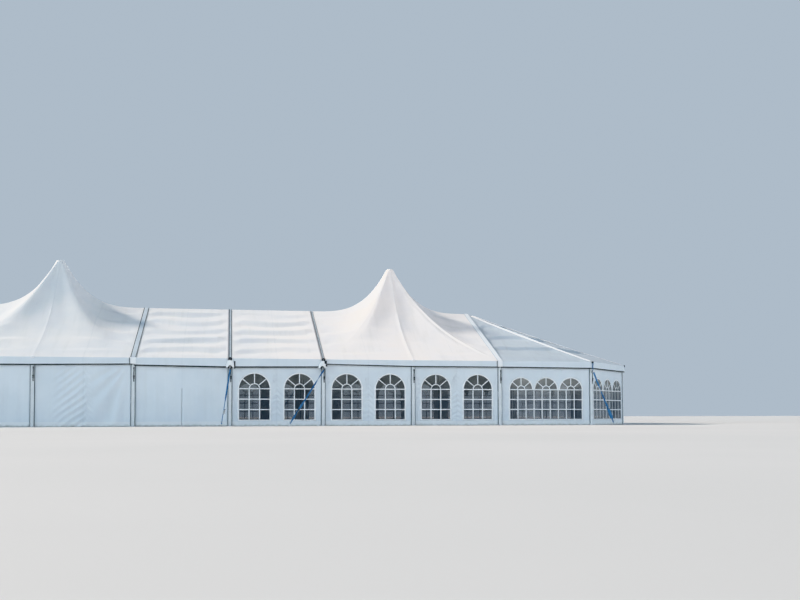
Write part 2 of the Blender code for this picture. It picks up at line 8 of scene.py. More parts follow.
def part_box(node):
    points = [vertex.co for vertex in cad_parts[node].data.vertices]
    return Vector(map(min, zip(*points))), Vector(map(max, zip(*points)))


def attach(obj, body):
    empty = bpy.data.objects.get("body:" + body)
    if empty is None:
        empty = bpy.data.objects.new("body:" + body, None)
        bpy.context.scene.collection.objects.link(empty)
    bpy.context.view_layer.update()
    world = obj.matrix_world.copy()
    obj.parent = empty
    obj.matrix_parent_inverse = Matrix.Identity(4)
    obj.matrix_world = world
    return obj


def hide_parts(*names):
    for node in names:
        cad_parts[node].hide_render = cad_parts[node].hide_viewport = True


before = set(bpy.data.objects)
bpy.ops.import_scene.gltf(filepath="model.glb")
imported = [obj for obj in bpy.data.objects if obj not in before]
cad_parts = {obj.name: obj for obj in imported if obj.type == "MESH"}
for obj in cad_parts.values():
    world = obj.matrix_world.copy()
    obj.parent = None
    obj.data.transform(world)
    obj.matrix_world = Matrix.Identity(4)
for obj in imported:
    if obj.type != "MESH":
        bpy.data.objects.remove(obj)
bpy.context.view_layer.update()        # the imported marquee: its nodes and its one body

plainLow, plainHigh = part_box("plain_canopy_right")
tent = {
    "face": 4.5,  # outer faces of the legs, front and back
    "valanceDrop": 0.28,
    "seam": 0.06,  # bare rafter between two roof cloths
    "sideFacet": 3.3,
    "cornerFacet": 3.0,
    "turn": radians(45),
    "legWidth": 0.10,
    "sink": 0.004,  # how far the cloths lie under the roof's own lines
}
# the tent's lines, read from the frame where it shows them
faceY, eaveY = tent["face"], -plainLow.y
eaveZ, ridgeZ = plainLow.z + tent["valanceDrop"], plainHigh.z
peakZ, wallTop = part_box("peak_canopy_right")[1].z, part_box("front_curtain_1")[1].z
slope = (ridgeZ - eaveZ) / eaveY
slopeLength = hypot(eaveY, ridgeZ - eaveZ)
portals = ["portal_frame_1", "portal_frame_2", "middle_portal_frame_and_purlins",
           "portal_frame_4", "portal_frame_5"]
frameX = [(low.x + high.x) / 2 for low, high in map(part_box, portals)]
endX = frameX[-1]
print("frame loaded, portals at", [round(x, 2) for x in frameX])


# materials

class NodeKit:
    # adds nodes to a material or a world, with patterns on object coordinates
    def __init__(self, owner):
        owner.use_nodes = True
        self.owner, self.tree = owner, owner.node_tree
        self.coordinates = self.add("TexCoord")
        self.where = self.coordinates.outputs["Object"]

    def put(self, value, socket):
        # value is a number, a colour or another node's output
        if isinstance(value, bpy.types.NodeSocket):
            self.tree.links.new(value, socket)
        else:
            socket.default_value = (*value, 1.0) if socket.type == "RGBA" else value

    def into(self, node, inputs):
        for key, value in inputs.items():
            self.put(value, node.inputs[key.replace("_", " ") if isinstance(key, str) else key])
        return node

    def add(self, kind, settings=None, **inputs):
        node = self.tree.nodes.new("ShaderNode" + kind)
        for key, value in (settings or {}).items():
            setattr(node, key, value)
        return self.into(node, inputs)

    def mix(self, factor, first, second):
        return self.into(self.add("Mix", {"data_type": "RGBA"}), {0: factor, 6: first, 7: second}).outputs[2]

    def ramp(self, *values):
        # what to map, from where to where, and the new ends if not 0 and 1
        return self.into(self.add("MapRange", {"clamp": True}), dict(enumerate(values))).outputs[0]

    def maths(self, operation, first, second):
        return self.into(self.add("Math", {"operation": operation}), {0: first, 1: second}).outputs[0]

    def times(self, first, second):
        return self.maths("MULTIPLY", first, second)

    def axis(self, name):
        return self.add("SeparateXYZ", Vector=self.where).outputs[name]

    def noise(self, scale, detail=3.0, stretch=(1, 1, 1)):
        vector = self.add("Mapping", Vector=self.where, Scale=stretch).outputs["Vector"]
        return self.add("TexNoise", Vector=vector, Scale=scale, Detail=detail, Roughness=0.55).outputs["Fac"]

    def waves(self, direction, scale):
        node = self.add("TexWave", {"bands_direction": direction}, Vector=self.where, Scale=scale)
        return node.outputs["Fac"]

    def pattern(self, settings):
        return self.waves(*settings) if isinstance(settings[0], str) else self.noise(*settings)

    def bump(self, height, distance, strength, before=None):
        node = self.add("Bump", Height=height, Distance=distance, Strength=strength)
        return self.into(node, {"Normal": before} if before else {}).outputs["Normal"]

    def shade(self, **inputs):
        self.into(self.tree.nodes["Principled BSDF"], inputs)
        return self.owner


clothWear = {
    "patches": (0.38, 0.66), "streakScale": 3.2, "streaks": (0.52, 0.74), "gloss": (1.7, -0.06, 0.08),
    "hem": 0.75, "splash": (0.14, 0.22, 0.62, 0.55),  # height, ends of the ramp, share
    "seamEdge": (0.022, 0.018), "seam": (0.22, 0.003, 0.5), "weave": (0.0003, 0.12),
}


def coatedCloth(name, look):
    # PVC coated polyester: a fine weave under the coat, dust in patches, rain streaks, soft creases
    kit, wear = NodeKit(bpy.data.materials.new(name)), clothWear
    look = {"weave": 240.0, "across": "Y", **look}
    patches = kit.ramp(kit.noise(look["patchScale"], 4.0), *wear["patches"])
    streaks = kit.ramp(kit.noise(wear["streakScale"], 3.0, look["streakStretch"]), *wear["streaks"])
    colour = kit.mix(patches, look["colour"], look["dusty"])
    colour = kit.mix(kit.times(streaks, look["streaks"]), colour, look["stain"])
    if "hem" in look:  # the foot of a wall is a whiter band, splashed with earth
        top, whiter, earth = look["hem"]
        height = kit.axis("Z")
        colour = kit.mix(kit.times(kit.ramp(height, top, top - 0.01), wear["hem"]), colour, whiter)
        reach, low, high, share = wear["splash"]
        dirt = kit.ramp(kit.times(kit.ramp(height, reach, 0.0), kit.noise(9.0, 4.0)), low, high)
        colour = kit.mix(kit.times(dirt, share), colour, earth)
    normal = kit.bump(kit.noise(look["creaseScale"], 4.0, look["creaseStretch"]), *look["creases"])
    if "seam" in look:  # welded seams, a little proud of the cloth
        every, start, seamColour = look["seam"]
        off = kit.maths("PINGPONG", kit.maths("ADD", kit.axis("X"), start), every / 2)
        seam = kit.ramp(off, *wear["seamEdge"])
        colour = kit.mix(kit.times(seam, wear["seam"][0]), colour, seamColour)
        normal = kit.bump(seam, *wear["seam"][1:], normal)
    weave = kit.times(kit.waves("X", look["weave"]), kit.waves(look["across"], look["weave"]))
    scale, least, most = wear["gloss"]
    gloss = kit.ramp(kit.noise(scale), 0.3, 0.7, look["roughness"] + least, look["roughness"] + most)
    return kit.shade(Base_Color=colour, Roughness=gloss, Normal=kit.bump(weave, *wear["weave"], normal),
                     Sheen_Weight=0.08, Specular_IOR_Level=0.45)


roofCloth = coatedCloth("white_roof_cloth", {
    "colour": (0.84, 0.83, 0.815), "dusty": (0.76, 0.775, 0.79), "stain": (0.60, 0.61, 0.58),
    "patchScale": 0.55, "streakStretch": (1.6, 0.18, 0.18), "streaks": 0.22, "roughness": 0.46,
    "creaseScale": 2.6, "creaseStretch": (0.45, 1.0, 1.0),
    "creases": (0.03, 0.32), "seam": (1.5, 0.0, (0.68, 0.70, 0.72)),
})
endCloth = coatedCloth("grey_end_roof_cloth", {  # the end roofs are coloured greyer and bluer than the rest, and glossier
    "colour": (0.53, 0.60, 0.66), "dusty": (0.47, 0.54, 0.60), "stain": (0.36, 0.40, 0.40),
    "patchScale": 0.7, "streakStretch": (1.6, 0.3, 0.3), "streaks": 0.25, "roughness": 0.34,
    "creaseScale": 3.2, "creaseStretch": (0.4, 1.0, 1.0), "creases": (0.02, 0.3),
})
coverCloth = coatedCloth("grey_cover_cloth", {
    "colour": (0.56, 0.63, 0.69), "dusty": (0.48, 0.555, 0.62), "stain": (0.30, 0.34, 0.36),
    "patchScale": 1.4, "streakStretch": (3.0, 0.3, 0.3), "streaks": 0.3, "roughness": 0.5,
    "creaseScale": 6.0, "creaseStretch": (1.0, 0.5, 1.0), "creases": (0.01, 0.3),
})
# the walls' cloth: white tinted blue, a painted shade of sky light; the valances' drops and the fifth frame's
# cover take it too
skyShadedWallCloth = coatedCloth("white_wall_cloth", {
    "colour": (0.775, 0.83, 0.87), "dusty": (0.72, 0.785, 0.835), "stain": (0.64, 0.69, 0.70),
    "patchScale": 0.9, "streakStretch": (1.8, 1.8, 0.12), "streaks": 0.18, "roughness": 0.5,
    "weave": 260.0, "across": "Z", "creaseScale": 4.5, "creaseStretch": (1.0, 1.0, 0.4),
    "creases": (0.012, 0.35),
    "hem": (0.15, (0.84, 0.87, 0.88), (0.42, 0.43, 0.36)), "seam": (3.0, 1.5, (0.64, 0.70, 0.75)),
})


def patchyFinish(name, patches, colours, marks=None, gloss=None, relief=(), **shader):
    # two colours in soft patches, marks laid over them, and fine relief
    kit = NodeKit(bpy.data.materials.new(name))
    colour = kit.mix(kit.ramp(kit.noise(*patches[:2]), *patches[2:]), *colours)
    if marks:
        pattern, low, high, share, marked = marks
        colour = kit.mix(kit.times(kit.ramp(kit.pattern(pattern), low, high), share), colour, marked)
    if gloss:
        shader["Roughness"] = kit.ramp(kit.noise(gloss[0]), 0.3, 0.7, *gloss[1:])
    normal = None
    for pattern, distance, strength in relief:
        normal = shader["Normal"] = kit.bump(kit.pattern(pattern), distance, strength, normal)
    return kit.shade(Base_Color=colour, **shader)


def clearFilm(name, paintedDarkBelow, paintedLightAbove):
    # tinted clear PVC, slightly rippled, that lets part of the view through; its colour is painted dark below,
    # as the shaded inside, and lighter up in the arches, as a painted reflection
    kit = NodeKit(bpy.data.materials.new(name))
    haze = kit.ramp(kit.noise(2.4, 3.0), 0.35, 0.7)
    low, high = kit.mix(haze, *paintedDarkBelow), kit.mix(haze, *paintedLightAbove)
    colour = kit.mix(kit.ramp(kit.axis("Z"), 0.85, 1.45), low, high)
    ripple = kit.bump(kit.noise(3.5, 2.0, (1.0, 1.0, 0.5)), 0.012, 0.5)
    return kit.shade(Base_Color=colour, Roughness=0.09, Alpha=0.55, Normal=ripple, Coat_Weight=0.3,
                     Coat_Roughness=0.04)


def extrudedAluminium(name, colour, dull, metallic):
    # fine lines along its length, dull patches, small scratches
    scratches = ((22.0, 6.0, (1.0, 1.0, 0.15)), 0.62, 0.72, 0.5, (0.85, 0.87, 0.88))
    return patchyFinish(name, (2.2, 5.0, 0.35, 0.7), (colour, dull), scratches, (6.0, 0.34, 0.55),
                        (((90.0, 2.0, (1.0, 1.0, 0.02)), 0.0006, 0.3),), Metallic=metallic)


def wovenWebbing(name, colour, faded, rib):
    # polyester webbing: cross ribs, a fade in patches, fuzzy sheen
    return patchyFinish(name, (3.5, 4.0, 0.35, 0.72), (colour, faded), (("Z", 110.0), 0.0, 1.0, 0.35, rib),
                        relief=((("Z", 110.0), 0.0012, 0.6),), Roughness=0.78, Sheen_Weight=0.35)


def galvanisedSteel():
    # zinc spangle over steel
    kit = NodeKit(bpy.data.materials.new("galvanised_steel"))
    grey = kit.ramp(kit.add("TexVoronoi", Vector=kit.where, Scale=55.0).outputs["Distance"], 0.0, 0.8)
    colour, gloss = kit.mix(grey, (0.34, 0.36, 0.38), (0.52, 0.54, 0.55)), kit.ramp(grey, 0.0, 1.0, 0.34, 0.58)
    grain = kit.bump(kit.noise(40.0), 0.001, 0.3)
    return kit.shade(Base_Color=colour, Metallic=0.8, Roughness=gloss, Normal=grain)


weldedWhite = patchyFinish("white_welded_trim", (5.0, 4.0, 0.35, 0.7),
                           ((0.93, 0.94, 0.945), (0.88, 0.90, 0.91)),
                           relief=(((30.0, 2.0), 0.002, 0.3), (("DIAGONAL", 160.0), 0.0003, 0.25)),
                           Roughness=0.38)
# dark tape; along the valances' hem it is partly painted shadow of the gap under the hem
darkTapeAndHemShadow = patchyFinish("dark_tape_and_painted_hem_shadow", (14.0, 4.0, 0.4, 0.7), ((0.030, 0.046, 0.046), (0.070, 0.092, 0.088)),
                       relief=((("X", 150.0), 0.0006, 0.5),), Roughness=0.72, Sheen_Weight=0.2)
plastic = patchyFinish("black_plastic", (20.0, 4.0, 0.4, 0.75), ((0.02, 0.024, 0.028), (0.07, 0.08, 0.085)),
                       relief=(((350.0, 2.0), 0.0006, 0.4),), Roughness=0.5)
windowFilm = clearFilm("clear_window_film_painted_dark_inside", ((0.050, 0.062, 0.080), (0.11, 0.13, 0.16)),
                       ((0.15, 0.155, 0.145), (0.29, 0.295, 0.28)))
endFilm = clearFilm("clear_end_film_painted_dark_inside", ((0.10, 0.115, 0.14), (0.20, 0.22, 0.25)),
                    ((0.40, 0.40, 0.37), (0.58, 0.57, 0.53)))
legAluminium = extrudedAluminium("mill_aluminium", (0.86, 0.89, 0.90), (0.76, 0.80, 0.82), 0.12)
# dark rail colour: in the gaps beside the legs and on the rafter rails' edges it is painted shade of the
# grooves
darkRailGrooveShade = extrudedAluminium("dark_keder_rail_painted_groove_shade", (0.07, 0.09, 0.10), (0.04, 0.055, 0.06), 0.2)
# the rafter rails' aluminium, tinted blue-grey as painted sky shade
roofRailSkyShade = extrudedAluminium("roof_rail_painted_sky_shade", (0.58, 0.66, 0.72), (0.47, 0.55, 0.61), 0.15)
steel = galvanisedSteel()
blueWebbing = wovenWebbing("blue_webbing", (0.025, 0.12, 0.30), (0.08, 0.25, 0.46), (0.04, 0.125, 0.23))
darkWebbing = wovenWebbing("dark_webbing", (0.03, 0.04, 0.045), (0.08, 0.10, 0.11), (0.04, 0.05, 0.055))
print("materials made")


# shaping and finishing a piece

def finish(name, bm, materials, replaced=(), thickness=0.0, offset=-1.0, smooth=40, middle=None):
    if middle:  # faces of an open sheet look away from the tent's middle
        bmesh.ops.recalc_face_normals(bm, faces=bm.faces)
        votes = ((face.calc_center_median() - middle).dot(face.normal) * face.calc_area() for face in bm.faces)
        if sum(votes) < 0:
            bmesh.ops.reverse_faces(bm, faces=bm.faces)
    bmesh.ops.remove_doubles(bm, verts=bm.verts, dist=0.0004)
    mesh = bpy.data.meshes.new(name)
    bm.to_mesh(mesh)
    bm.free()
    for material in materials:
        mesh.materials.append(material)
    mesh.shade_smooth()
    mesh.set_sharp_from_angle(angle=radians(smooth))
    piece = bpy.data.objects.new(name, mesh)
    bpy.context.collection.objects.link(piece)
    if thickness:
        shell = piece.modifiers.new("cloth thickness", "SOLIDIFY")
        shell.thickness = thickness
        shell.offset = offset
    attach(piece, "root")
    if replaced:
        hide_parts(*replaced)
    return piece


def ease(value, low, high):
    # 0 up to low, 1 from high on, smooth between
    share = min(1.0, max(0.0, (value - low) / (high - low)))
    return share * share * (3 - 2 * share)


def bell(value, width):
    return exp(-(value / width) ** 2)


def wave(value, length, phase=0.0):
    return sin(2 * pi * value / length + phase)


def noisy(x, y, z):
    return noise.noise(Vector((x, y, z)))


def spaced(low, high, count):
    return [low + (high - low) * number / count for number in range(count + 1)]


def inOrder(items):
    # each item once, so that every run gives the same mesh
    return list(dict.fromkeys(items))


def gridSheet(bm, columns, rows, place):
    # a sheet whose grid lines stand at the given columns and rows
    made = bmesh.ops.create_grid(bm, x_segments=len(columns) - 1, y_segments=len(rows) - 1, size=1.0)["verts"]
    for vert in made:
        column = round((vert.co.x + 1) / 2 * (len(columns) - 1))
        row = round((vert.co.y + 1) / 2 * (len(rows) - 1))
        vert.co = place(columns[column], rows[row])
    return made


# roof cloths

valance = {
    "rows": 6,
    "tapeAndShadow": 0.85,  # the tape covers the drop below this share; this dark band is partly painted shadow under the hem
    "ripple": 0.009,
    "tuck": 0.008,  # how far the hem hangs in
    "thickness": 0.004,
    # how low the hem hangs, by place along the tent
    "hang": ((-9.0, 0.27), (-6.0, 0.262), (-3.03, 0.222), (-2.97, 0.258), (-0.03, 0.300), (0.03, 0.300),
             (2.97, 0.272),
             (3.03, 0.172), (6.0, 0.228), (9.0, 0.225), (12.3, 0.243), (14.5, 0.25)),
}
valanceRows = spaced(0.0, valance["tapeAndShadow"], valance["rows"]) + [1.0]  # shares of the drop
roofFolds = {
    "bandLength": 0.92,  # down the slope, from one level fold to the next
    "offset": 0.18,
    "depth": 0.105,
    "rise": 0.66,  # share of a fold that lies flat before it drops
    "warp": (0.22, 0.05),  # how far the folds stray, in noise and in a wave
    "strength": (0.9, 1.1, 0.12, 1.5),  # middle, change, least and most
    "fine": 0.009,
    "slanted": 0.011,
    "slack": 0.018,
    # they grow in from the rafters, from the ridge and from the eave, and the slanted ones far down
    "aside": (0.03, 0.4), "down": (0.12, 0.6), "up": (0.0, 0.35), "slantedDown": (2.0, 4.6),
    "grid": (46, 92),
}


def roofAt(y):
    return ridgeZ - slope * abs(y)


def hangOf(x):
    # straight lines between the named places
    for (x0, drop0), (x1, drop1) in zip(valance["hang"], valance["hang"][1:]):
        if x <= x1:
            return drop0 + (drop1 - drop0) * max(0.0, x - x0) / (x1 - x0)
    return valance["hang"][-1][1]


def hemRipple(along, share):
    fromFrame = min(abs(along - x) for x in frameX)
    sway = sin(along * 7.3) + 0.6 * sin(along * 17.1 + 1.3)
    return valance["ripple"] * share * sway * ease(fromFrame, 0.1, 0.5)


def hemPoint(x, side, share):
    out = eaveY + hemRipple(x, share) - valance["tuck"] * share
    return Vector((x, side * out, eaveZ - share * hangOf(x)))


def pleat(turns, rise):
    # a slack fold: it rises slowly, then drops
    share = turns % 1.0
    return share / rise - 0.5 if share < rise else 0.5 * cos(pi * (share - rise) / (1 - rise))


def bandFolds(down, along, edge):
    # soft folds that run level along the roof, where the cloth is slack between the frames
    stray, sway = roofFolds["warp"]
    warp = stray * noisy(along * 0.45, down * 0.6, 3.1) + sway * sin(along * 2.1 + down)
    mean, change, least, most = roofFolds["strength"]
    strength = min(most, max(least, mean + change * noisy(along * 0.42, down * 1.1, 9.7)))
    ends = ease(edge, *roofFolds["aside"]) * ease(down, *roofFolds["down"])
    ends *= ease(slopeLength - down, *roofFolds["up"])
    slanted = noisy(along * 3.1 + down * 2.3, along * 0.8 - down * 0.8, 8.8)
    slanted *= ease(down, *roofFolds["slantedDown"])
    fold = pleat((down + warp) / roofFolds["bandLength"] + roofFolds["offset"], roofFolds["rise"])
    return (roofFolds["depth"] * fold * strength + roofFolds["fine"] * noisy(along * 0.9, down * 3.4, 5.2)
            + roofFolds["slanted"] * slanted) * ends


def finishCanopy(name, bm, hem, materials, middle, smooth=40):
    # hem gives the share of the drop at each point; the last material is the drop's, the second its tape. The
    # drop takes the bluer wall cloth, a painted-shade copy of the roof cloth, and its tape is partly painted
    # shadow under the hem
    for face in bm.faces:
        shares = [hem.get(vert, 0.0) for vert in face.verts]
        if max(shares) > 0.01:
            face.material_index = 1 if min(shares) > valance["tapeAndShadow"] - 0.01 else len(materials) - 1
    return finish(f"{name}_cloth", bm, materials, [name], valance["thickness"],
                  smooth=smooth, middle=middle)


def plainCanopy(name, lowX, highX):
    bm = bmesh.new()
    lowX, highX = lowX + tent["seam"] / 2, highX - tent["seam"] / 2
    columns = spaced(lowX, highX, roofFolds["grid"][0])
    # a row's side, and its place: below 0 a share of the drop, above 0 a length up the slope
    climb = [-share for share in reversed(valanceRows)] + spaced(0.0, slopeLength, roofFolds["grid"][1])[1:]
    rows = [(-1, value) for value in climb] + [(1, value) for value in reversed(climb[:-1])]

    def place(x, row):
        side, value = row
        if value <= 0:
            return hemPoint(x, side, -value)
        y = eaveY * (1 - value / slopeLength)
        dip = bandFolds(slopeLength - value, x if side < 0 else x + 40, min(x - lowX, highX - x))
        sag = roofFolds["slack"] * sin(pi * (x - lowX) / (highX - lowX))
        return Vector((x, side * y, roofAt(y) + dip - sag * sin(pi * value / slopeLength) - tent["sink"]))

    verts = gridSheet(bm, columns, rows, place)
    hem = {vert: max(0.0, -rows[number // len(columns)][1]) for number, vert in enumerate(verts)}
    return finishCanopy(name, bm, hem, [roofCloth, darkTapeAndHemShadow, skyShadedWallCloth], Vector(((lowX + highX) / 2, 0, 1.0)))


plainCloths = [plainCanopy("plain_canopy_left", frameX[1], frameX[2]),
               plainCanopy("plain_canopy_right", frameX[2], frameX[3])]
print("plain roof bays made")

hat = {
    "rimSteps": (84, 108),  # along an eave, along a rafter
    "rimCrowding": 0.6,  # they crowd towards the corners and the middle
    "rings": 68,
    "crowding": 1.35,  # rings crowd towards the peak
    "capRadius": 0.14,
    "capRise": 0.02,
    "ridgeFall": 3.3,  # how fast the cloth falls away from the peak, along each line
    "middleFall": 3.1,
    "rays": (9, 0.004),
    "folds": 0.66,  # of the plain bays' folds
    "smoothing": 0.35,
    "taut": (-0.4, 0.4),  # across the middle, from the soft side to the taut one
    "squared": (0.72, 1.0),  # the round level lines turn square towards the rim
    # the level folds grow in down the slope, away from the rafters and from the eave, and are less near a hip
    "foldsDown": (0.36, 0.62), "foldsAside": (0.03, 0.35), "foldsUp": (0.0, 0.1), "foldsAtHip": (0.30, 0.6),
    "foldsAcross": (0.2, 0.25, 0.9),  # least share at the middle, and where they are full
    "flankAcross": (0.15, 0.5),
    "raysDown": (0.1, 0.35), "raysUp": (0.25, 0.6),
    "hipDown": (0.12, 0.4), "hipFan": 0.25,
    "ribDown": (0.2, 0.5), "ribUp": (0.0, 0.08), "ribWide": (0.05, 0.03),
    "sheet": {"flat": (9.2, 11.6), "area": 62.0},
}
# the hat on the right is pulled taut over its right hips, the one on the left lies softer
hatCreases = {
    "right": {
        # on the soft side and on the taut one: how fast the hips fall, how far the cloth sags between,
        # how sharp, how square
        "hips": ((2.25, 2.72), (0.30, 0.42), (2.0, 1.0), (4.0, 18.0)),
        # beside each hip, towards the eave and towards the rafter: how far off, how wide, how high
        "folds": ((0.0, 0.045, 0.030), (0.09, 0.05, -0.018), (-0.10, 0.05, -0.014), (-0.30, 0.028, 0.016),
                  (-0.46, 0.030, 0.014), (0.34, 0.04, 0.008)),
        "rib": 0.020,  # the fold from the peak to the middle leg
        "flank": 0.1,  # more of the level folds on the left flank
        # radius and height of the cloth over the mast's head, rounded
        "top": ((0.135, 5.906), (0.125, 5.914), (0.106, 5.920), (0.075, 5.9235), (0.035, 5.925), (0.0, 5.925)),
    },
    "left": {
        "hips": ((2.3, 2.45), (0.26, 0.26), (2.0, 2.0), (4.0, 3.8)),
        "folds": ((-0.35, 0.06, 0.006),),
        "rib": 0.006,
        "flank": 0.7,
        "top": ((0.136, 5.905), (0.128, 5.911), (0.114, 5.915), (0.085, 5.917), (0.035, 5.917), (0.0, 5.917)),
    },
}


def hatSurface(middle, halfX, point):
    # height of the peaked cloth over a plan point, and how far it lies towards the rim
    crease = hatCreases["right" if middle > 0 else "left"]
    dx, dy = point.x - middle, point.y
    reach = hypot(dx, dy)
    across, along = abs(dx) / halfX, abs(dy) / eaveY
    square = max(across, along, 1e-6)
    onEave = along >= across
    side = (dx / square / halfX if onEave else dy / square / eaveY) / 2 + 0.5
    # the hips on the side away from the sun are taut, the others lie soft and round
    taut = ease(dx, *hat["taut"])
    hipFall, sag, sharp, power = (soft + (tight - soft) * taut for soft, tight in crease["hips"])
    level = (across ** power + along ** power) ** (1 / power)
    level += (square - level) * ease(square, *hat["squared"])
    rimReach = reach / max(level, 1e-6)
    share = min(1.0, max(0.0, (reach - hat["capRadius"]) / max(rimReach - hat["capRadius"], 1e-6)))
    offMiddle = abs(sin(2 * pi * side))
    fallHere = hat["middleFall"] if onEave else hat["ridgeFall"]
    fall = fallHere + (hipFall - fallHere) * cos(pi * side) ** 2
    fall += sag * offMiddle ** (sharp if onEave else max(1.6, sharp))
    edge = Vector((dx, dy)).normalized() * hat["capRadius"]
    height = roofAt(dy) + (peakZ - hat["capRise"] - roofAt(edge.y)) * (1 - share) ** fall
    # level folds near the eaves, soft rays from the peak
    fade = ease(share, *hat["foldsDown"]) * ease(halfX - abs(dx), *hat["foldsAside"])
    least, full = hat["foldsAtHip"]
    fade *= ease(1 - share, *hat["foldsUp"]) * (least + (1 - least) * ease(offMiddle, 0.0, full))
    least, *full = hat["foldsAcross"]
    nearRafter = least + (1 - least) * ease(across, *full)
    if dx < 0:
        nearRafter += crease["flank"] * ease(across, *hat["flankAcross"])
    down = slopeLength * (1 - abs(dy) / eaveY)
    height += bandFolds(down, point.x + (0 if dy < 0 else 40), 1.0) * hat["folds"] * nearRafter * fade
    turn, (count, rise) = atan2(dy, dx), hat["rays"]
    rays = rise * sin(turn * count + 2.0 * noisy(turn * 2, middle, 0.0))
    height += rays * ease(share, *hat["raysDown"]) * ease(1 - share, *hat["raysUp"])
    # the hips' own folds, which fan out from the peak
    offHip = (abs(dy) * halfX - abs(dx) * eaveY) / hypot(halfX, eaveY)
    for away, wide, tall in crease["folds"]:
        length = ease(share, *hat["hipDown"]) * ease(1 - share, 0.02, 0.25 if away == 0 else 0.4)
        fan = hat["hipFan"] + (1 - hat["hipFan"]) * share
        height += tall * bell(offHip - away * fan, wide) * length * max(taut, 0.1)
    if onEave:
        length = ease(share, *hat["ribDown"]) * ease(1 - share, *hat["ribUp"])
        wide, wider = hat["ribWide"]
        height += crease["rib"] * bell(dx, wide + wider * share) * length
    return height, share


def pulledOut(bm, row):
    # extrudes a row of open edges, and gives the new edges and their points
    swept = bmesh.ops.extrude_edge_only(bm, edges=row)["geom"]
    row = [item for item in swept if isinstance(item, bmesh.types.BMEdge)]
    row = [edge for edge in row if edge.is_boundary and edge.calc_length() > 1e-6]
    return row, inOrder(vert for edge in row for vert in edge.verts)


def openEdges(bm, inside):
    return [edge for edge in bm.edges if edge.is_boundary and all(inside(vert.co) for vert in edge.verts)]


def peakCanopy(name, lowX, highX):
    middle = (lowX + highX) / 2
    centre = Vector((middle, 0.0))
    halfX = (highX - lowX - tent["seam"]) / 2
    cap = hat["capRadius"]
    bm = bmesh.new()
    corners = [(-halfX, -1), (halfX, -1), (halfX, 1), (-halfX, 1)]
    rim = [bm.verts.new((middle + x, side * eaveY, 0.0)) for x, side in corners]
    edges = [bm.edges.new((rim[number], rim[(number + 1) % 4])) for number in range(4)]
    for start, steps in enumerate(hat["rimSteps"]):
        bmesh.ops.subdivide_edges(bm, edges=edges[start::2], cuts=steps - 1)
    for vert in bm.verts:
        axis, half = (0, halfX) if abs(vert.co.y) > eaveY - 1e-4 else (1, eaveY)
        value = vert.co[axis] - (middle, 0.0)[axis]
        vert.co[axis] -= half * hat["rimCrowding"] * wave(value, half) / (2 * pi)
    outer = list(bm.edges)
    ring = sorted(bm.verts, key=lambda vert: atan2(vert.co.y, vert.co.x - middle))
    capVerts = bmesh.ops.create_circle(bm, segments=len(ring), radius=cap)["verts"]
    capVerts.sort(key=lambda vert: atan2(vert.co.y, vert.co.x))
    for vert, mate in zip(capVerts, ring):
        vert.co = (centre + (mate.co.xy - centre).normalized() * cap).to_3d()
    inner = [edge for edge in bm.edges if edge not in set(outer)]
    bmesh.ops.bridge_loops(bm, edges=outer + inner)
    spokes = [edge for edge in bm.edges if edge.calc_length() > 1.0]
    bmesh.ops.subdivide_edges(bm, edges=spokes, cuts=hat["rings"] - 1, use_grid_fill=True)
    for vert in bm.verts:
        away = vert.co.xy - centre
        _, share = hatSurface(middle, halfX, vert.co)
        wanted = away.length
        if share > 1e-5:
            wanted = cap + (wanted - cap) / share * share ** hat["crowding"]
        point = centre + away.normalized() * wanted
        vert.co = Vector((point.x, point.y, hatSurface(middle, halfX, point)[0] - tent["sink"]))
    free = [vert for vert in bm.verts if not vert.is_boundary]
    bmesh.ops.smooth_vert(bm, verts=free, factor=hat["smoothing"], use_axis_z=True)
    # close the cloth over the mast's head
    row = openEdges(bm, lambda point: (point.xy - centre).length < cap + 0.02)
    for radius, height in hatCreases["right" if middle > 0 else "left"]["top"]:
        row, last = pulledOut(bm, row)
        for vert in last:
            point = centre + (vert.co.xy - centre).normalized() * radius
            vert.co = Vector((point.x, point.y, height))
    bmesh.ops.pointmerge(bm, verts=last, merge_co=(middle, 0.0, height))
    row, hem = openEdges(bm, lambda point: abs(point.y) > eaveY - 1e-3), {}
    for share in valanceRows[1:]:
        row, moved = pulledOut(bm, row)
        for vert in moved:
            vert.co = hemPoint(vert.co.x, copysign(1, vert.co.y), share)
            hem[vert] = share
    return finishCanopy(name, bm, hem, [roofCloth, darkTapeAndHemShadow, skyShadedWallCloth], Vector((middle, 0, 1.0)), 55)


hatCloths = [peakCanopy("peak_canopy_left", *frameX[:2]), peakCanopy("peak_canopy_right", *frameX[3:])]
print("peaked roofs made")


# ends

def planCorners(out):
    # plan corners of the right end, front to back, at a distance outside the legs' faces
    bend = tan(tent["turn"] / 2)
    sideX = endX + tent["sideFacet"]
    farX = sideX + tent["cornerFacet"] * cos(tent["turn"])
    farY = faceY - tent["cornerFacet"] * sin(tent["turn"])
    front = [Vector((endX, -faceY - out)), Vector((sideX + out * bend, -faceY - out)),
             Vector((farX + out, -farY - out * bend))]
    return front + [Vector((point.x, -point.y)) for point in reversed(front)]


endRoof = {
    "columns": (36, 34, 52, 34, 36),  # per facet
    "rows": 84,
    "facetStep": 3.4,  # from one facet to the next, for the folds
    "hipSag": 0.04,
    "facetSag": 0.03,
    "bands": 0.072,
    "rise": 0.86,
    "bandShares": (0.02, 0.29, 0.51, 0.74, 1.02),  # where the level folds drop, down the slope
    "fine": 0.010,
    "stray": 0.03,
    "strength": (0.95, 0.45),  # middle and change
    "aside": (0.04, 0.34), "down": (0.06, 0.2), "up": (0.0, 0.12),  # where the folds grow in
    "hemFrom": 9.3,  # the valance's ripples and its drop go on from the front's
    "hangFrom": (9.1, 14.5),
    "apex": tent["legWidth"] / 2,
    "inside": 2.0,
    "sheet": {"flat": (17.6, 5.5), "area": 48.0},
}


def bandAt(value):
    # place within a level fold, from 0 to 1
    for before, after in zip(endRoof["bandShares"], endRoof["bandShares"][1:]):
        if value < after:
            return (value - before) / (after - before)
    return 0.0


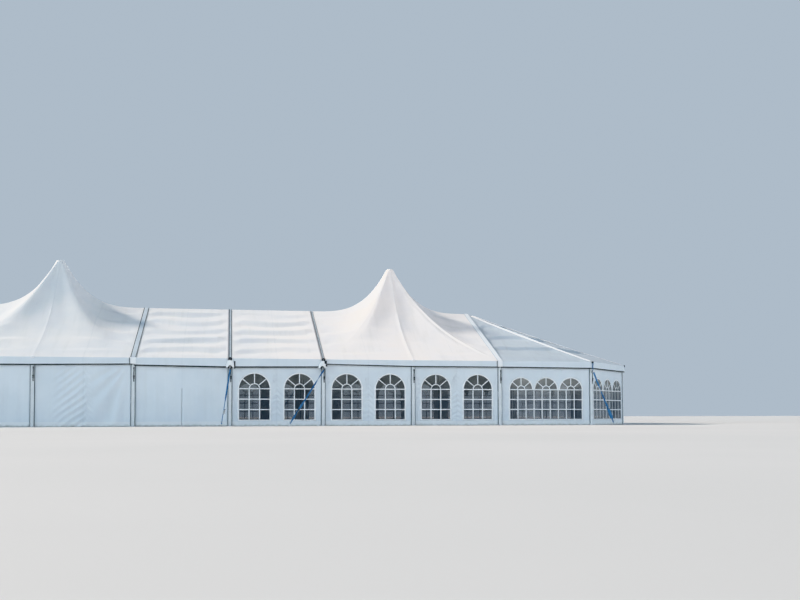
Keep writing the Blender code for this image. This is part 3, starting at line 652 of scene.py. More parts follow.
def endPoint(hand, facet, share, value, hem=0.0):
    # a point of the end roof: share runs round a facet, value down from the apex to the eave
    corners = planCorners(eaveY - faceY)
    corners[0].x = corners[-1].x = endX + tent["seam"] / 2
    eave = corners[facet].lerp(corners[facet + 1], share)
    width = corners[facet + 1] - corners[facet]
    around = (facet + share) * endRoof["facetStep"]
    inside = min(share, 1 - share)
    if hem:
        outward = Vector((width.y, -width.x)).normalized()
        ripple = hemRipple(endRoof["hemFrom"] + around, hem) * ease(inside, 0, 0.1)
        point = eave + outward * (ripple - valance["tuck"] * hem * ease(inside, 0, 0.06))
        start, stop = endRoof["hangFrom"]
        return Vector((hand * point.x, point.y, eaveZ - hem * hangOf(min(stop, start + around))))
    top = Vector((endX + endRoof["apex"], 0.0))
    if facet in (0, 4):  # the top edge of a side facet runs back to the seam
        top.x += (corners[0].x - top.x) * (share if facet else 1 - share)
    point = top.lerp(eave, value)
    height = ridgeZ + (eaveZ - ridgeZ) * value
    loose = sin(pi * value)
    if (facet, share) not in ((0, 0), (4, 1)):
        height -= endRoof["hipSag"] * loose * ease(value, 0.0, 0.2)
    height -= endRoof["facetSag"] * loose * sin(pi * share)
    fold = pleat(bandAt(value + endRoof["stray"] * noisy(around * 0.6, value * 2.0, 1.7)), endRoof["rise"])
    tame = ease(inside * width.length * value, *endRoof["aside"]) * ease(value, *endRoof["down"])
    tame *= ease(1 - value, *endRoof["up"])
    mean, change = endRoof["strength"]
    height += endRoof["bands"] * fold * (mean + change * noisy(around * 0.4, value * 3.0, 6.1)) * tame
    height += endRoof["fine"] * noisy(around * 1.5, value * 9.0, 4.4) * tame
    return Vector((hand * point.x, point.y, height - tent["sink"]))


def endCanopy(name, hand):
    bm = bmesh.new()
    columns = [(facet, share) for facet, count in enumerate(endRoof["columns"])
               for share in spaced(0.0, 1.0, count)[:-1]]
    columns.append((4, 1.0))
    rows = [(value, 0.0) for value in spaced(0.0, 1.0, endRoof["rows"])]
    rows += [(1.0, share) for share in valanceRows[1:]]
    verts = gridSheet(bm, columns, rows, lambda column, row: endPoint(hand, *column, *row))
    for face in bm.faces:
        face.material_index = 2
    hem = {vert: rows[number // len(columns)][1] for number, vert in enumerate(verts)}
    middle = Vector((hand * (endX + endRoof["inside"]), 0, 0.5))
    return finishCanopy(name, bm, hem, [roofCloth, darkTapeAndHemShadow, endCloth, skyShadedWallCloth], middle, 55)


endCloths = [endCanopy("end_canopy_left", -1), endCanopy("end_canopy_right", 1)]
print("end roofs made")


# strips over the roof's joints: each profile gives places across the strip and heights

coverStrip = {
    "profile": ((-0.090, 0.001), (-0.088, 0.009), (-0.070, 0.009), (-0.066, 0.005), (-0.03, 0.008),
                (0.03, 0.008),
                (0.066, 0.005), (0.070, 0.009), (0.088, 0.009), (0.090, 0.001)),
    "piped": 0.066,  # the piping starts here
    "flap": 0.20,  # the white end of the cover, let down over the valance
    "flapOut": 0.006,
    "flapNarrower": 0.10,
    "thickness": 0.002,
}
stripSteps = {"slope": 88, "flap": 5, "hip": 64}
railStrip = {
    "profile": ((-0.036, 0.0), (-0.036, 0.010), (-0.026, 0.010), (-0.023, 0.005), (0.0, 0.007), (0.023, 0.005),
                (0.026, 0.010), (0.036, 0.010), (0.036, 0.0)),
    "piped": 0.0245,
    "thickness": 0.0018,
    "narrow": (1.0, 0.72),  # the rail over the fourth frame is slimmer
}
hipStrip = {
    "profile": ((-0.078, 0.001), (-0.072, 0.008), (-0.03, 0.010), (0.0, 0.013), (0.03, 0.010), (0.072, 0.008),
                (0.078, 0.001)),
    "ends": (0.05, 0.997),  # shares of the way down from the apex
}


def roofStrip(name, x, strip, materials, wide=1.0):
    # along a gable: up the front slope, over the ridge and down the back, with a flap at each end if it has one
    bm = bmesh.new()
    shares = spaced(0.0, 1.0, stripSteps["flap"])[1:] if "flap" in strip else []
    stations = [(-1, share) for share in reversed(shares)]
    stations += [(0, y) for y in spaced(-eaveY, eaveY, stripSteps["slope"])] + [(1, share) for share in shares]

    def place(station, row):
        side, value = station
        across, rise = row[0] * wide, row[1]
        if side:
            across *= 1 - strip["flapNarrower"] * value
            return Vector((x + across, side * (eaveY + rise + strip["flapOut"]), eaveZ - value * strip["flap"]))
        return Vector((x + across, value, roofAt(value) + rise))

    gridSheet(bm, stations, strip["profile"], place)
    for face in bm.faces:
        centre = face.calc_center_median()
        onFlap = centre.z < eaveZ and abs(centre.y) > eaveY
        face.material_index = 2 if onFlap else int(abs(centre.x - x) > strip["piped"] * wide)
    return finish(name, bm, materials, thickness=strip["thickness"], smooth=35,
                  middle=Vector((x, 0, 1.0)))


seamCovers = []
# the cover over the fifth frame is whiter
for number, (place, cloth, edge) in enumerate(((0, coverCloth, darkTapeAndHemShadow), (1, coverCloth, darkTapeAndHemShadow),
                                               (4, skyShadedWallCloth, coverCloth)), 1):
    materials = [cloth, edge, weldedWhite]
    seamCovers.append(roofStrip(f"seam_cover_{number}", frameX[place], coverStrip, materials))
# rafter rails: blue-grey as painted sky shade, with dark outer edges as painted shade of the grooves
for number, (place, narrow) in enumerate(zip((2, 3), railStrip["narrow"]), 1):
    materials = [roofRailSkyShade, darkRailGrooveShade]
    roofStrip(f"rafter_rail_{number}", frameX[place], railStrip, materials, narrow)


# white strips down the end roof's hips: partly a cover over each hip, partly a painted highlight along the taut
# hip
def hipCoversAndHighlight(name, hand):
    bm = bmesh.new()
    corners = planCorners(eaveY - faceY)
    for corner in (1, 2, 3, 4):
        def place(value, row):
            facet = corner if row[0] >= 0 else corner - 1
            width = max((corners[facet + 1] - corners[facet]).length * value, 0.05)
            share = min(0.45, abs(row[0]) / width)
            point = endPoint(hand, facet, share if row[0] >= 0 else 1 - share, value)
            return point + Vector((0, 0, tent["sink"] + row[1]))

        gridSheet(bm, spaced(*hipStrip["ends"], stripSteps["hip"]), hipStrip["profile"], place)
    return finish(name, bm, [weldedWhite], thickness=0.002, smooth=45,
                  middle=Vector((hand * (endX + endRoof["inside"]), 0, 0.5)))


hipPieces = [hipCoversAndHighlight("hip_cover_highlight_left", -1), hipCoversAndHighlight("hip_cover_highlight_right", 1)]
for number, (end, ends, covered) in enumerate((("left", portals[:2], (0, 2)), ("right", portals[3:], (2, 3)))):
    mine = seamCovers[slice(*covered)]
print("roof strips made")


# walls, each in its own plane: a runs along it, z up, and swell moves it out of its plane

window = {
    "single": 0.5,  # half widths
    "triple": 1.3,
    "sill": 0.19,
    "spring": 1.20,
    "pier": 0.08,
    "bar": 0.034,
    "barRise": 0.0055,
    "layer": 0.0005,  # from one kind of bar to the next, so that none lie in one plane
    "innerArch": 0.165,
    "ray": radians(40),
    "border": 0.046,
    "borderLap": 0.014,  # the border reaches this far over the film
    "borderRise": 0.0045,
    "levels": 3,
    "filmIn": 0.001,  # the film lies this far inside the cloth
}
wallLook = {
    "gap": 0.018, "thickness": 0.003, "sideSteps": 56, "sillSteps": 24, "archSteps": 34, "rings": 8,
    "inset": 0.005,  # the cloth's middle lies this far inside its node's faces
    "merge": 0.0008,
    "slanted": (96, 68), "plain": (58, 30),  # a curtain's columns and rows
}
# how far each kind of fold stands out, and how long it is
wallFolds = {
    "fromEdge": (0.0, 0.22), "fromTop": (0.0, 0.5), "fromFoot": (0.0, 0.35), "footShare": 0.35,
    "wrinkle": (0.022, 0.235), "small": (0.012, 0.19), "fan": (0.022, 21), "seam": (-0.006, 0.05),
    "belly": 0.014,
    "hanging": (0.0042, 0.47, 0.19), "loose": 0.010,
    "noise": (0.009, 0.006), "pucker": (0.012, 0.18), "beside": (0.010, 0.20),
}


class WallPlane:
    # where a wall's cloth stands, read from its node's box
    def __init__(self, node, along, outward, style, kinds=()):
        low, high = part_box(node)
        start, stop = [], []
        for axis in range(2):
            inset = wallLook["inset"] * abs(outward[axis])
            ends = (low[axis] + inset, high[axis] - inset)
            if abs(along[axis]) < 1e-6:
                ends = (sum(ends) / 2,) * 2
            start.append(ends[along[axis] < 0])
            stop.append(ends[along[axis] >= 0])
        self.node, self.style, self.kinds = node, style, kinds
        self.start = Vector(start)
        self.along, self.outward = Vector(along).normalized(), Vector(outward).normalized()
        self.length = (Vector(stop) - self.start).length
        self.seed = sum(ord(letter) for letter in node) * 0.37
        # each window's kind and its middle along the wall
        self.windows = [(kind, self.length * (number + 0.5) / len(kinds)) for number, kind in enumerate(kinds)]

    def swell(self, a, z):
        folds = wallFolds
        off, fromEnd = a - self.length / 2, min(a, self.length - a)
        edge, top = ease(fromEnd, *folds["fromEdge"]), ease(wallTop - z, *folds["fromTop"])
        loose = folds["footShare"] + (1 - folds["footShare"]) * ease(z, *folds["fromFoot"])
        rough = noisy(a * 1.3 + self.seed, z * 0.9, self.seed)
        if self.style == "slanted":
            # wrinkles gathered along the middle seam, and folds that hang from the far top corner
            tall, length = folds["wrinkle"]
            near = ease(off, -1.15, -0.25) * (1 - ease(off, -0.02, 0.16))
            swell = tall * wave(z - 0.8 * off + 0.10 * rough, length) * near * (0.85 + 0.6 * rough)
            tall, length = folds["small"]
            swell += tall * wave(z + 0.9 * off, length) * ease(off, 0.0, 0.06) * (1 - ease(off, 0.1, 0.35))
            tall, count = folds["fan"]
            fan = atan2(wallTop + 0.1 - z, self.length + 0.1 - a)
            spread = ease(off, 0.0, 0.5) * ease(self.length - a, 0.1, 0.5)
            swell += tall * sin(fan * count + 1.6 * rough) * spread
            swell += folds["seam"][0] * bell(off, folds["seam"][1])
            belly = folds["belly"] * sin(pi * a / self.length) * sin(pi * z / wallTop)
            return (swell * top + belly) * edge
        if self.style == "folds":
            shift = 0.5 * noisy(z * 0.8, self.seed, a)
            tall, long, short = folds["hanging"]
            fold = tall * (wave(a, long, 2.2 * shift) + 0.5 * wave(a, short, 3 * shift))
            return (fold * (0.6 + 0.4 * loose) + folds["loose"] * rough) * edge * top
        # puckers between the windows and beside the legs
        cross = noisy(a * 2.6 + z * 2.1, z * 3.2 - a * 1.2, self.seed)
        swell = folds["noise"][0] * rough + folds["noise"][1] * cross
        if len(self.kinds) == 2:
            tall, length = folds["pucker"]
            pucker = wave(z + 0.6 * abs(off) + 0.16 * rough + 0.06 * cross, length) * (0.7 + 1.5 * cross)
            swell += tall * pucker * bell(abs(off) - 0.05, 0.12)
        tall, length = folds["beside"]
        beside = wave(z - 0.6 * fromEnd + 0.12 * cross, length) * (0.7 + 1.2 * rough)
        return (swell + tall * beside * bell(fromEnd - 0.11, 0.07)) * edge * top * loose

    def place(self, a, z, out=0.0):
        point = self.start + self.along * a + self.outward * (out + self.swell(a, z))
        return Vector((point.x, point.y, z))


def archPoints(middle, half, turns):
    return [(middle + half * cos(turn), window["spring"] + half * sin(turn)) for turn in turns]


def archesOf(middle, kind):
    # middle and half width of each arch, right to left
    if kind == "single":
        return [(middle, window["single"])]
    half = (window["triple"] - window["pier"]) / 3
    step = 2 * half + window["pier"]
    return [(middle + step, half), (middle, half), (middle - step, half)]


def windowLoop(middle, kind):
    # the hole's outline, from the left spring down, along the sill, up and over the arches
    left, right = middle - window[kind], middle + window[kind]
    heights = spaced(window["sill"], window["spring"], wallLook["sideSteps"])
    down = [(left, z) for z in reversed(heights)]
    sill = [(a, window["sill"]) for a in spaced(left, right, wallLook["sillSteps"])[1:]]
    up = [(right, z) for z in heights[1:]]
    turns = spaced(0.0, pi, wallLook["archSteps"])
    over = [point for arch, half in archesOf(middle, kind) for point in archPoints(arch, half, turns)]
    return down, sill, up, over[1:-1]


def windowBay(bm, plane, low, high, middle, kind):
    # cloth between a window's hole and the edges of its bay
    half, rise = window[kind], wallTop / (window["spring"] - window["sill"])
    down, sill, up, over = windowLoop(middle, kind)

    def spread(a):
        return low + (a - middle + half) * (high - low) / (2 * half)

    inner = down + sill + up + over
    outer = [(low, (z - window["sill"]) * rise) for _, z in down] + [(spread(a), 0.0) for a, _ in sill]
    outer += [(high, (z - window["sill"]) * rise) for _, z in up] + [(spread(a), wallTop) for a, _ in over]

    def place(column, share):
        (a0, z0), (a1, z1) = inner[column % len(inner)], outer[column % len(inner)]
        return plane.place(a0 + (a1 - a0) * share, z0 + (z1 - z0) * share)

    gridSheet(bm, range(len(inner) + 1), spaced(0.0, 1.0, wallLook["rings"]), place)


def hangWall(plane, bm, **sheet):
    middle = Vector((copysign(endX, plane.start.x) if plane.kinds == ("triple",) else 0.0, 0, 1))
    piece = finish(f"{plane.node}_cloth", bm, [skyShadedWallCloth], [plane.node], wallLook["thickness"],
                   offset=0.0, middle=middle)
    return plane


def windowWall(plane):
    bm = bmesh.new()
    count = len(plane.kinds)
    lines = spaced(0.0, plane.length, count)
    lines[0], lines[-1] = wallLook["gap"], plane.length - wallLook["gap"]
    for number, (kind, middle) in enumerate(plane.windows):
        windowBay(bm, plane, lines[number], lines[number + 1], middle, kind)
    bmesh.ops.remove_doubles(bm, verts=bm.verts, dist=wallLook["merge"])
    holes = sum(2 * window[kind] * (window["spring"] - window["sill"]) for kind in plane.kinds)
    holes += sum(pi * half * half / 2 for kind in plane.kinds for _, half in archesOf(0.0, kind))
    return hangWall(plane, bm, flat=(plane.length, wallTop), area=plane.length * wallTop - holes)


def curtainWall(plane, slit):
    bm = bmesh.new()
    gap, half = wallLook["gap"], plane.length / 2
    across, rows = wallLook["slanted" if plane.style == "slanted" else "plain"]
    columns = spaced(gap, plane.length - gap, across)
    if slit:
        columns = spaced(gap, half - slit["half"], across // 2)
        columns += spaced(half + slit["half"], plane.length - gap, across // 2)
    gridSheet(bm, columns, spaced(0.0, wallTop, rows), plane.place)
    if slit:
        def inSlit(face):
            centre = face.calc_center_median()
            off = (centre.xy - plane.start).dot(plane.along) - half
            return abs(off) < slit["half"] and centre.z < slit["height"]

        bmesh.ops.delete(bm, geom=list(filter(inSlit, bm.faces)), context="FACES")
    return hangWall(plane, bm, flat=(2.95, wallTop))


def flatStrip(bm, plane, points, width, out):
    # a ribbon along a line in the wall's plane
    def place(number, side):
        before, after = points[max(0, number - 1)], points[min(len(points) - 1, number + 1)]
        way = (Vector(after) - Vector(before)).normalized()
        a, z = points[number]
        return plane.place(a - way.y * side, z + way.x * side, out)

    gridSheet(bm, range(len(points)), [-width / 2, width / 2], place)


def windowBars(bm, plane, middle, kind):
    sill, spring, half, out, bar = (window[key] for key in ("sill", "spring", kind, "barRise", "bar"))
    for z in spaced(sill, spring, window["levels"])[1:]:
        flatStrip(bm, plane, [(a, z) for a in spaced(middle - half, middle + half, 12)], bar, out)
    for a in spaced(middle - half, middle + half, 3 if kind == "single" else 9)[1:-1]:
        flatStrip(bm, plane, [(a, z) for z in spaced(sill, spring, 10)], bar, out + window["layer"])
    for arch, archHalf in archesOf(middle, kind):
        inner = window["innerArch"] * archHalf / window["single"]
        points = archPoints(arch, inner, spaced(0.0, pi, 12))
        flatStrip(bm, plane, points, bar * 0.9, out + 2 * window["layer"])
        for turn in (window["ray"], pi / 2, pi - window["ray"]):
            ray = [archPoints(arch, reach, [turn])[0] for reach in spaced(inner, archHalf, 5)]
            flatStrip(bm, plane, ray, bar * 0.9, out + 3 * window["layer"])


def windowBorder(bm, plane, middle, kind):
    # the welded frame round the hole, half on the film and half on the cloth
    loop = [Vector(point) for points in windowLoop(middle, kind) for point in points]
    count = len(loop)

    def place(number, side):
        here = loop[number % count]
        first = (here - loop[(number - 1) % count]).normalized()
        second = (loop[(number + 1) % count] - here).normalized()
        turnIn = Vector((-first.y - second.y, first.x + second.x)).normalized()
        here = here + turnIn * side / max(0.5, sqrt((1 + first.dot(second)) / 2))
        return plane.place(here.x, here.y, window["borderRise"])

    gridSheet(bm, range(count + 1), [window["borderLap"] - window["border"], window["borderLap"]], place)


def windowPane(bm, plane, middle, kind):
    # the film, cut along the bars so that it follows the cloth
    before = set(bm.verts)
    bm.faces.new([bm.verts.new((a, 0.0, z)) for points in windowLoop(middle, kind) for a, z in points])
    half = window[kind]
    cuts = [((a, 0, 0), (1, 0, 0)) for a in spaced(middle - half, middle + half, 9)[1:-1]]
    cuts += [((0, 0, z), (0, 0, 1)) for z in spaced(window["sill"], window["spring"], 6)[1:]]
    for point, normal in cuts:
        mine = [vert for vert in bm.verts if vert not in before]
        links = inOrder(item for vert in mine for item in (*vert.link_faces, *vert.link_edges))
        bmesh.ops.bisect_plane(bm, geom=mine + links, plane_co=point, plane_no=normal, dist=1e-5)
    for vert in bm.verts:
        if vert not in before:
            vert.co = plane.place(vert.co.x, vert.co.z, -window["filmIn"])


slitLook = {"half": 0.005, "height": 1.15}
# every wall, and each run of windows: its name, its walls and its film's flat size
wallPlanes, runs = [], []
for side, mark in (("front", -1), ("back", 1)):
    for number, style in enumerate(("folds", "slanted", "folds"), 1):
        plane = WallPlane(f"{side}_curtain_{number}", (1, 0), (0, mark), style)
        wallPlanes.append(curtainWall(plane, slitLook if number == 3 else None))
    names = [f"{side}_window_wall_{number}" for number in (4, 5, 6)]
    planes = [windowWall(WallPlane(name, (1, 0), (0, mark), "light", ("single", "single"))) for name in names]
    wallPlanes += planes
    runs.append((side, planes, (8.9, 1.65)))
for end, hand in (("right", 1), ("left", -1)):
    planes = []
    corners = planCorners(0.0)
    for number, name in enumerate(("front_side", "front_corner", "end", "back_corner", "back_side")):
        way = (corners[number + 1] - corners[number]).normalized()
        along, outward = (hand * way.x, way.y), (hand * way.y, -way.x)
        planes.append(windowWall(WallPlane(f"{end}_{name}_wall", along, outward, "light", ("triple",))))
    wallPlanes += planes
    runs.append((f"{end}_end", planes, (17.4, 1.65)))
print("walls made")

for run, planes, flat in runs:
    panes, trims = bmesh.new(), bmesh.new()
    for plane in planes:
        for kind, middle in plane.windows:
            windowPane(panes, plane, middle, kind)
            windowBars(trims, plane, middle, kind)
            windowBorder(trims, plane, middle, kind)
    area = sum(face.calc_area() for face in panes.faces)
    pane = finish(f"{run}_window_film", panes, [endFilm if "end" in run else windowFilm],
                  [f"{run}_clear_sheet"], middle=Vector((planes[0].start.x * 0.7, 0, 1)))
    trim = finish(f"{run}_window_bars", trims, [weldedWhite], thickness=0.003, offset=0.0)
print("windows made")


# the frame's own nodes keep their shape and take a finish

finishOf = {"portal": legAluminium, "eave_beam": legAluminium, "end_wall_frame": legAluminium,
            "hip_rafters": legAluminium, "peak_mast": steel}
for name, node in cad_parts.items():
    for word, material in finishOf.items():
        if word in name:
            node.data.materials.clear()
            node.data.materials.append(material)


def placed(turn, point):
    # a turn, and the point that it carries things to
    matrix = turn.to_4x4()
    matrix.translation = point
    return matrix


def standing(point, outward):
    # x along the wall to the left as seen from outside, y outwards, z up
    outward, up = Vector((*outward, 0)).normalized(), Vector((0, 0, 1))
    return placed(Matrix((up.cross(-outward), outward, up)).transposed(), Vector((*point, 0)))


def onLeg(x, side):
    return standing((x, side * faceY), (0, side))


def paint(faces, material):
    for face in faces:
        face.material_index = material


def band(bm, points, across, width, thick, material):
    # a closed flat ribbon along points: across gives the way of its width at each of them
    rows = [(-0.5, -0.5), (0.5, -0.5), (0.5, 0.5), (-0.5, 0.5), (-0.5, -0.5)]
    before = set(bm.faces)

    def place(number, row):
        ahead = points[min(number + 1, len(points) - 1)] - points[max(number - 1, 0)]
        normal = ahead.normalized().cross(across[number]).normalized()
        return points[number] + across[number] * (row[0] * width) + normal * (row[1] * thick)

    bmesh.ops.remove_doubles(bm, verts=gridSheet(bm, range(len(points)), rows, place), dist=0.0002)
    made = [face for face in bm.faces if face not in before]
    rims = [edge for edge in inOrder(edge for face in made for edge in face.edges) if edge.is_boundary]
    made += bmesh.ops.holes_fill(bm, edges=rims)["faces"]
    bmesh.ops.recalc_face_normals(bm, faces=made)
    paint(made, material)


def rod(bm, start, end, radius, material, sides=14, tip=None):
    before, way = set(bm.faces), end - start
    made = bmesh.ops.create_cone(bm, cap_ends=True, segments=sides, radius1=radius, radius2=tip or radius,
                                 depth=way.length)["verts"]
    turn = placed(way.to_track_quat("Z", "Y").to_matrix(), (start + end) / 2)
    bmesh.ops.transform(bm, matrix=turn, verts=made)
    paint(set(bm.faces) - before, material)


def ring(bm, centre, axis, radius, thick, material):
    before, faces = set(bm.verts), set(bm.faces)
    circle = bmesh.ops.create_circle(bm, segments=8, radius=thick)["verts"]
    turn = placed(Matrix.Rotation(pi / 2, 3, "X"), Vector((radius, 0, 0)))
    bmesh.ops.transform(bm, matrix=turn, verts=circle)
    edges = inOrder(edge for vert in circle for edge in vert.link_edges)
    bmesh.ops.spin(bm, geom=edges, cent=(0, 0, 0), axis=(0, 0, 1), angle=2 * pi, steps=20, use_merge=True)
    turn = placed(axis.to_track_quat("Z", "Y").to_matrix(), centre)
    bmesh.ops.transform(bm, matrix=turn, verts=[vert for vert in bm.verts if vert not in before])
    made = [face for face in bm.faces if face not in faces]
    bmesh.ops.recalc_face_normals(bm, faces=made)
    paint(made, material)


def part(bm, matrix, low, high, material=0, soft=0.0):
    # a block in a leg's own directions, its edges rounded where it is soft
    before = set(bm.faces)
    low, high = Vector(low), Vector(high)
    verts = bmesh.ops.create_cube(bm, size=1.0)["verts"]
    bmesh.ops.scale(bm, vec=high - low, verts=verts)
    bmesh.ops.translate(bm, vec=(low + high) / 2, verts=verts)
    if soft:
        edges = inOrder(edge for vert in verts for edge in vert.link_edges)
        bmesh.ops.bevel(bm, geom=edges, offset=soft, offset_type="OFFSET", affect="EDGES", segments=2,
                        profile=0.5, material=-1)
    made = [face for face in bm.faces if face not in before]
    verts = inOrder(vert for face in made for vert in face.verts)
    bmesh.ops.transform(bm, matrix=matrix, verts=verts)
    paint(made, material)


leg = {
    "rib": 0.016, "ribOut": 0.004, "ribTop": 1.99, "middleRib": 0.011,
    "keder": (0.002, -0.016, 0.004, 0.012),  # narrower than the gap, how deep, how far out, how high it starts
}
kneeX = (frameX[0] + frameX[1]) / 2, (frameX[3] + frameX[4]) / 2  # middle legs of the peaked bays
legPlaces = [onLeg(x, side) for side in (-1, 1) for x in [*frameX, *kneeX]]


def cornerPlaces():
    # the posts of both ends: plan point of the outer corner, outward way halfway between the two walls
    places = []
    corners = planCorners(0.0)
    for hand in (-1, 1):
        for number in (1, 2, 3, 4):
            ways = [(corners[number + step] - corners[number + step - 1]).normalized() for step in (0, 1)]
            outward = Vector((hand * (ways[0].y + ways[1].y), -ways[0].x - ways[1].x))
            places.append((number, standing((hand * corners[number].x, corners[number].y), outward)))
    return places


def kederRails():
    # the dark edge of each wall, where its bead runs in the leg's groove: dark strips that fill the gap between
    # wall and leg, as painted shade of the groove
    bm = bmesh.new()
    gap = wallLook["gap"]
    less, deep, out, foot = leg["keder"]
    for plane in wallPlanes:
        matrix = standing(plane.start, plane.outward)
        way = (matrix.inverted().to_3x3() @ Vector((*plane.along, 0))).x
        for low in (0.0004, plane.length - gap + 0.0016):
            if way < 0:
                low = -low - gap + less
            part(bm, matrix, (low, deep, foot), (low + gap - less, out, wallTop - 0.004))
    return finish("wall_keder_rails", bm, [darkRailGrooveShade])


def legRibs():
    # raised ribs leave a groove down each side of a leg's face
    bm = bmesh.new()
    half, rib, middle = tent["legWidth"] / 2, leg["rib"], leg["middleRib"]
    for matrix in legPlaces:
        for low, high in ((-half, -half + rib), (half - rib, half), (-middle, middle)):
            part(bm, matrix, (low, 0.0002, 0.0105), (high, leg["ribOut"], leg["ribTop"]), soft=0.001)
    return finish("leg_face_ribs", bm, [legAluminium])


buckle = {
    "x": 0.024, "web": 0.027, "thick": 0.003, "top": 1.875, "foot": 1.41, "out": 0.007,
    # wider than the web, from and to out of the strap, low, high, rounding
    "blocks": ((0.006, 0.0, 0.016, 1.50, 1.60, 0.003), (0.010, 0.012, 0.024, 1.57, 1.606, 0.004),
               (0.004, 0.0, 0.010, 1.80, 1.86, 0.003)),
}


def hangingBand(bm, matrix, heights, place, twist, width, thick, material):
    # a ribbon that hangs down a leg: place and twist say how it lies at each height
    points = [matrix @ Vector((*place(z), z)) for z in heights]
    across = [matrix.to_3x3() @ Vector((1, twist(z), 0)).normalized() for z in heights]
    band(bm, points, across, width, thick, material)


def legBuckles():
    # a dark strap with its buckle high on each leg, which holds the wall's top rail up
    bm = bmesh.new()
    for matrix in legPlaces + [matrix for number, matrix in cornerPlaces() if number in (1, 4)]:
        x, out, half = copysign(buckle["x"], matrix[1][1]), buckle["out"], buckle["web"] / 2
        hangingBand(bm, matrix, spaced(buckle["top"], buckle["foot"], 18),
                    lambda z: (x + 0.002 * sin(z * 31), out + 0.004 * sin(z * 17) ** 2),
                    lambda z: 0.15 * sin(z * 23), buckle["web"], buckle["thick"], 0)
        for more, near, far, low, high, soft in buckle["blocks"]:
            part(bm, matrix, (x - half - more, out + near, low), (x + half + more, out + far, high), 1, soft)
    return finish("leg_buckle_straps", bm, [darkWebbing, plastic])


# stacked rounds of a peg: from, to, radius and the radius at the top
footPeg = {"across": 0.027, "out": 0.046, "foot": 0.0103,
           "rounds": ((0.0, 0.003, 0.01725, None), (0.0033, 0.006, 0.009, None),
                      (0.0063, 0.016, 0.015, 0.01275))}


def footPegs():
    bm = bmesh.new()
    for matrix in legPlaces:
        for x in (-footPeg["across"], footPeg["across"]):
            foot = matrix @ Vector((x, footPeg["out"], footPeg["foot"]))
            for low, high, radius, tip in footPeg["rounds"]:
                rod(bm, foot + Vector((0, 0, low)), foot + Vector((0, 0, high)), radius, 0, tip=tip)
    return finish("foot_plate_pegs", bm, [steel], smooth=35)


kederRails()
legRibs()
legBuckles()
footPegs()
print("leg details made")

capFrames = (2, 3)
eaveCap = {
    "half": 0.058, "out": 0.088,
    "bolt": (2.15, 0.011),  # height and radius
    # low and high corner and rounding: the cap and its tongue over the eave
    "blocks": (((-0.058, 0.012, 2.105), (0.058, 0.088, 2.190), 0.010),
               ((-0.0319, -0.03, 2.176), (0.0319, 0.05, 2.208), 0.006)),
    # beside the collars, the same way along the tent at front and back: the middle frame's black plate, painted
    # shade of a gap, and the fourth one's two lumps
    "beside": {2: (((0.126, 0.0405, 1.845), (0.166, 0.048, 2.085), 0.003),),
               3: (((0.030, 0.042, 2.015), (0.105, 0.086, 2.118), 0.009),
                   ((0.06, 0.042, 1.93), (0.118, 0.066, 2.01), 0.007))},
}
collar = {"top": 2.125, "drop": 0.250, "arch": 0.060, "halfTop": 0.078, "halfFoot": 0.128,
          "out": 0.050, "from": 0.0465,
          "lean": {2: 0.0, 3: -0.04}}
# the loop's place out from the leg, height, half width and rise, and its blocks' size
collarLoop = {"out": 0.062, "z": 1.872, "half": 0.052, "rise": 0.066, "wide": 0.045,
              "thick": 0.012, "block": 0.012,
              "deep": (0.044, 0.082), "high": (1.845, 1.876)}


def sideways(low, high, side):
    # a block's corners, turned over along x where its side is -1
    first, second = sorted((low[0] * side, high[0] * side))
    return (first, *low[1:]), (second, *high[1:])


def eaveCaps():
    # moulded ends of the rails where they come over the eave, and dark pieces beside the collars: a black plate
    # as painted shade of a gap, and dark lumps
    bm = bmesh.new()
    height, radius = eaveCap["bolt"]
    for number in capFrames:
        for side in (-1, 1):
            matrix = onLeg(frameX[number], side)
            for low, high, soft in eaveCap["blocks"]:
                part(bm, matrix, low, high, 0, soft)
            bolt = [matrix @ Vector((0, eaveCap["out"] + out, height)) for out in (-0.002, 0.006)]
            rod(bm, *bolt, radius, 1, sides=6)
            for low, high, soft in eaveCap["beside"][number]:
                part(bm, matrix, *sideways(low, high, side), 0, soft)
    return finish("eave_rail_caps", bm, [plastic, steel], smooth=45)


def collarCloth(number, side):
    # the white collar that is laced over the eave round a ground strap
    bm = bmesh.new()
    matrix = onLeg(frameX[number], side)
    lean = collar["lean"][number] * side

    def place(s, t):
        half = collar["halfTop"] + (collar["halfFoot"] - collar["halfTop"]) * ease(t, 0.0, 0.7)
        z = collar["top"] - (collar["drop"] - collar["arch"] * max(0.0, 1 - (s / 0.62) ** 2)) * t
        belly = collar["out"] * (1 - s * s) * (0.35 + 0.65 * sin(pi * min(1.0, 0.15 + t * 0.7)))
        fold = 0.006 * sin(7.0 * s + 3.0 * t) * (1 - s ** 4) + 0.004 * sin(19 * t + 2 * s) * (1 - s * s)
        return matrix @ Vector((s * half + lean * t, collar["from"] + belly + fold, z))

    gridSheet(bm, spaced(-1.0, 1.0, 22), spaced(0.0, 1.0, 20), place)
    name = f"eave_collar_{number + 1}_{'front' if side < 0 else 'back'}"
    return finish(name, bm, [weldedWhite], thickness=0.003,
                  middle=matrix @ Vector((0, -0.5, 2.0)))


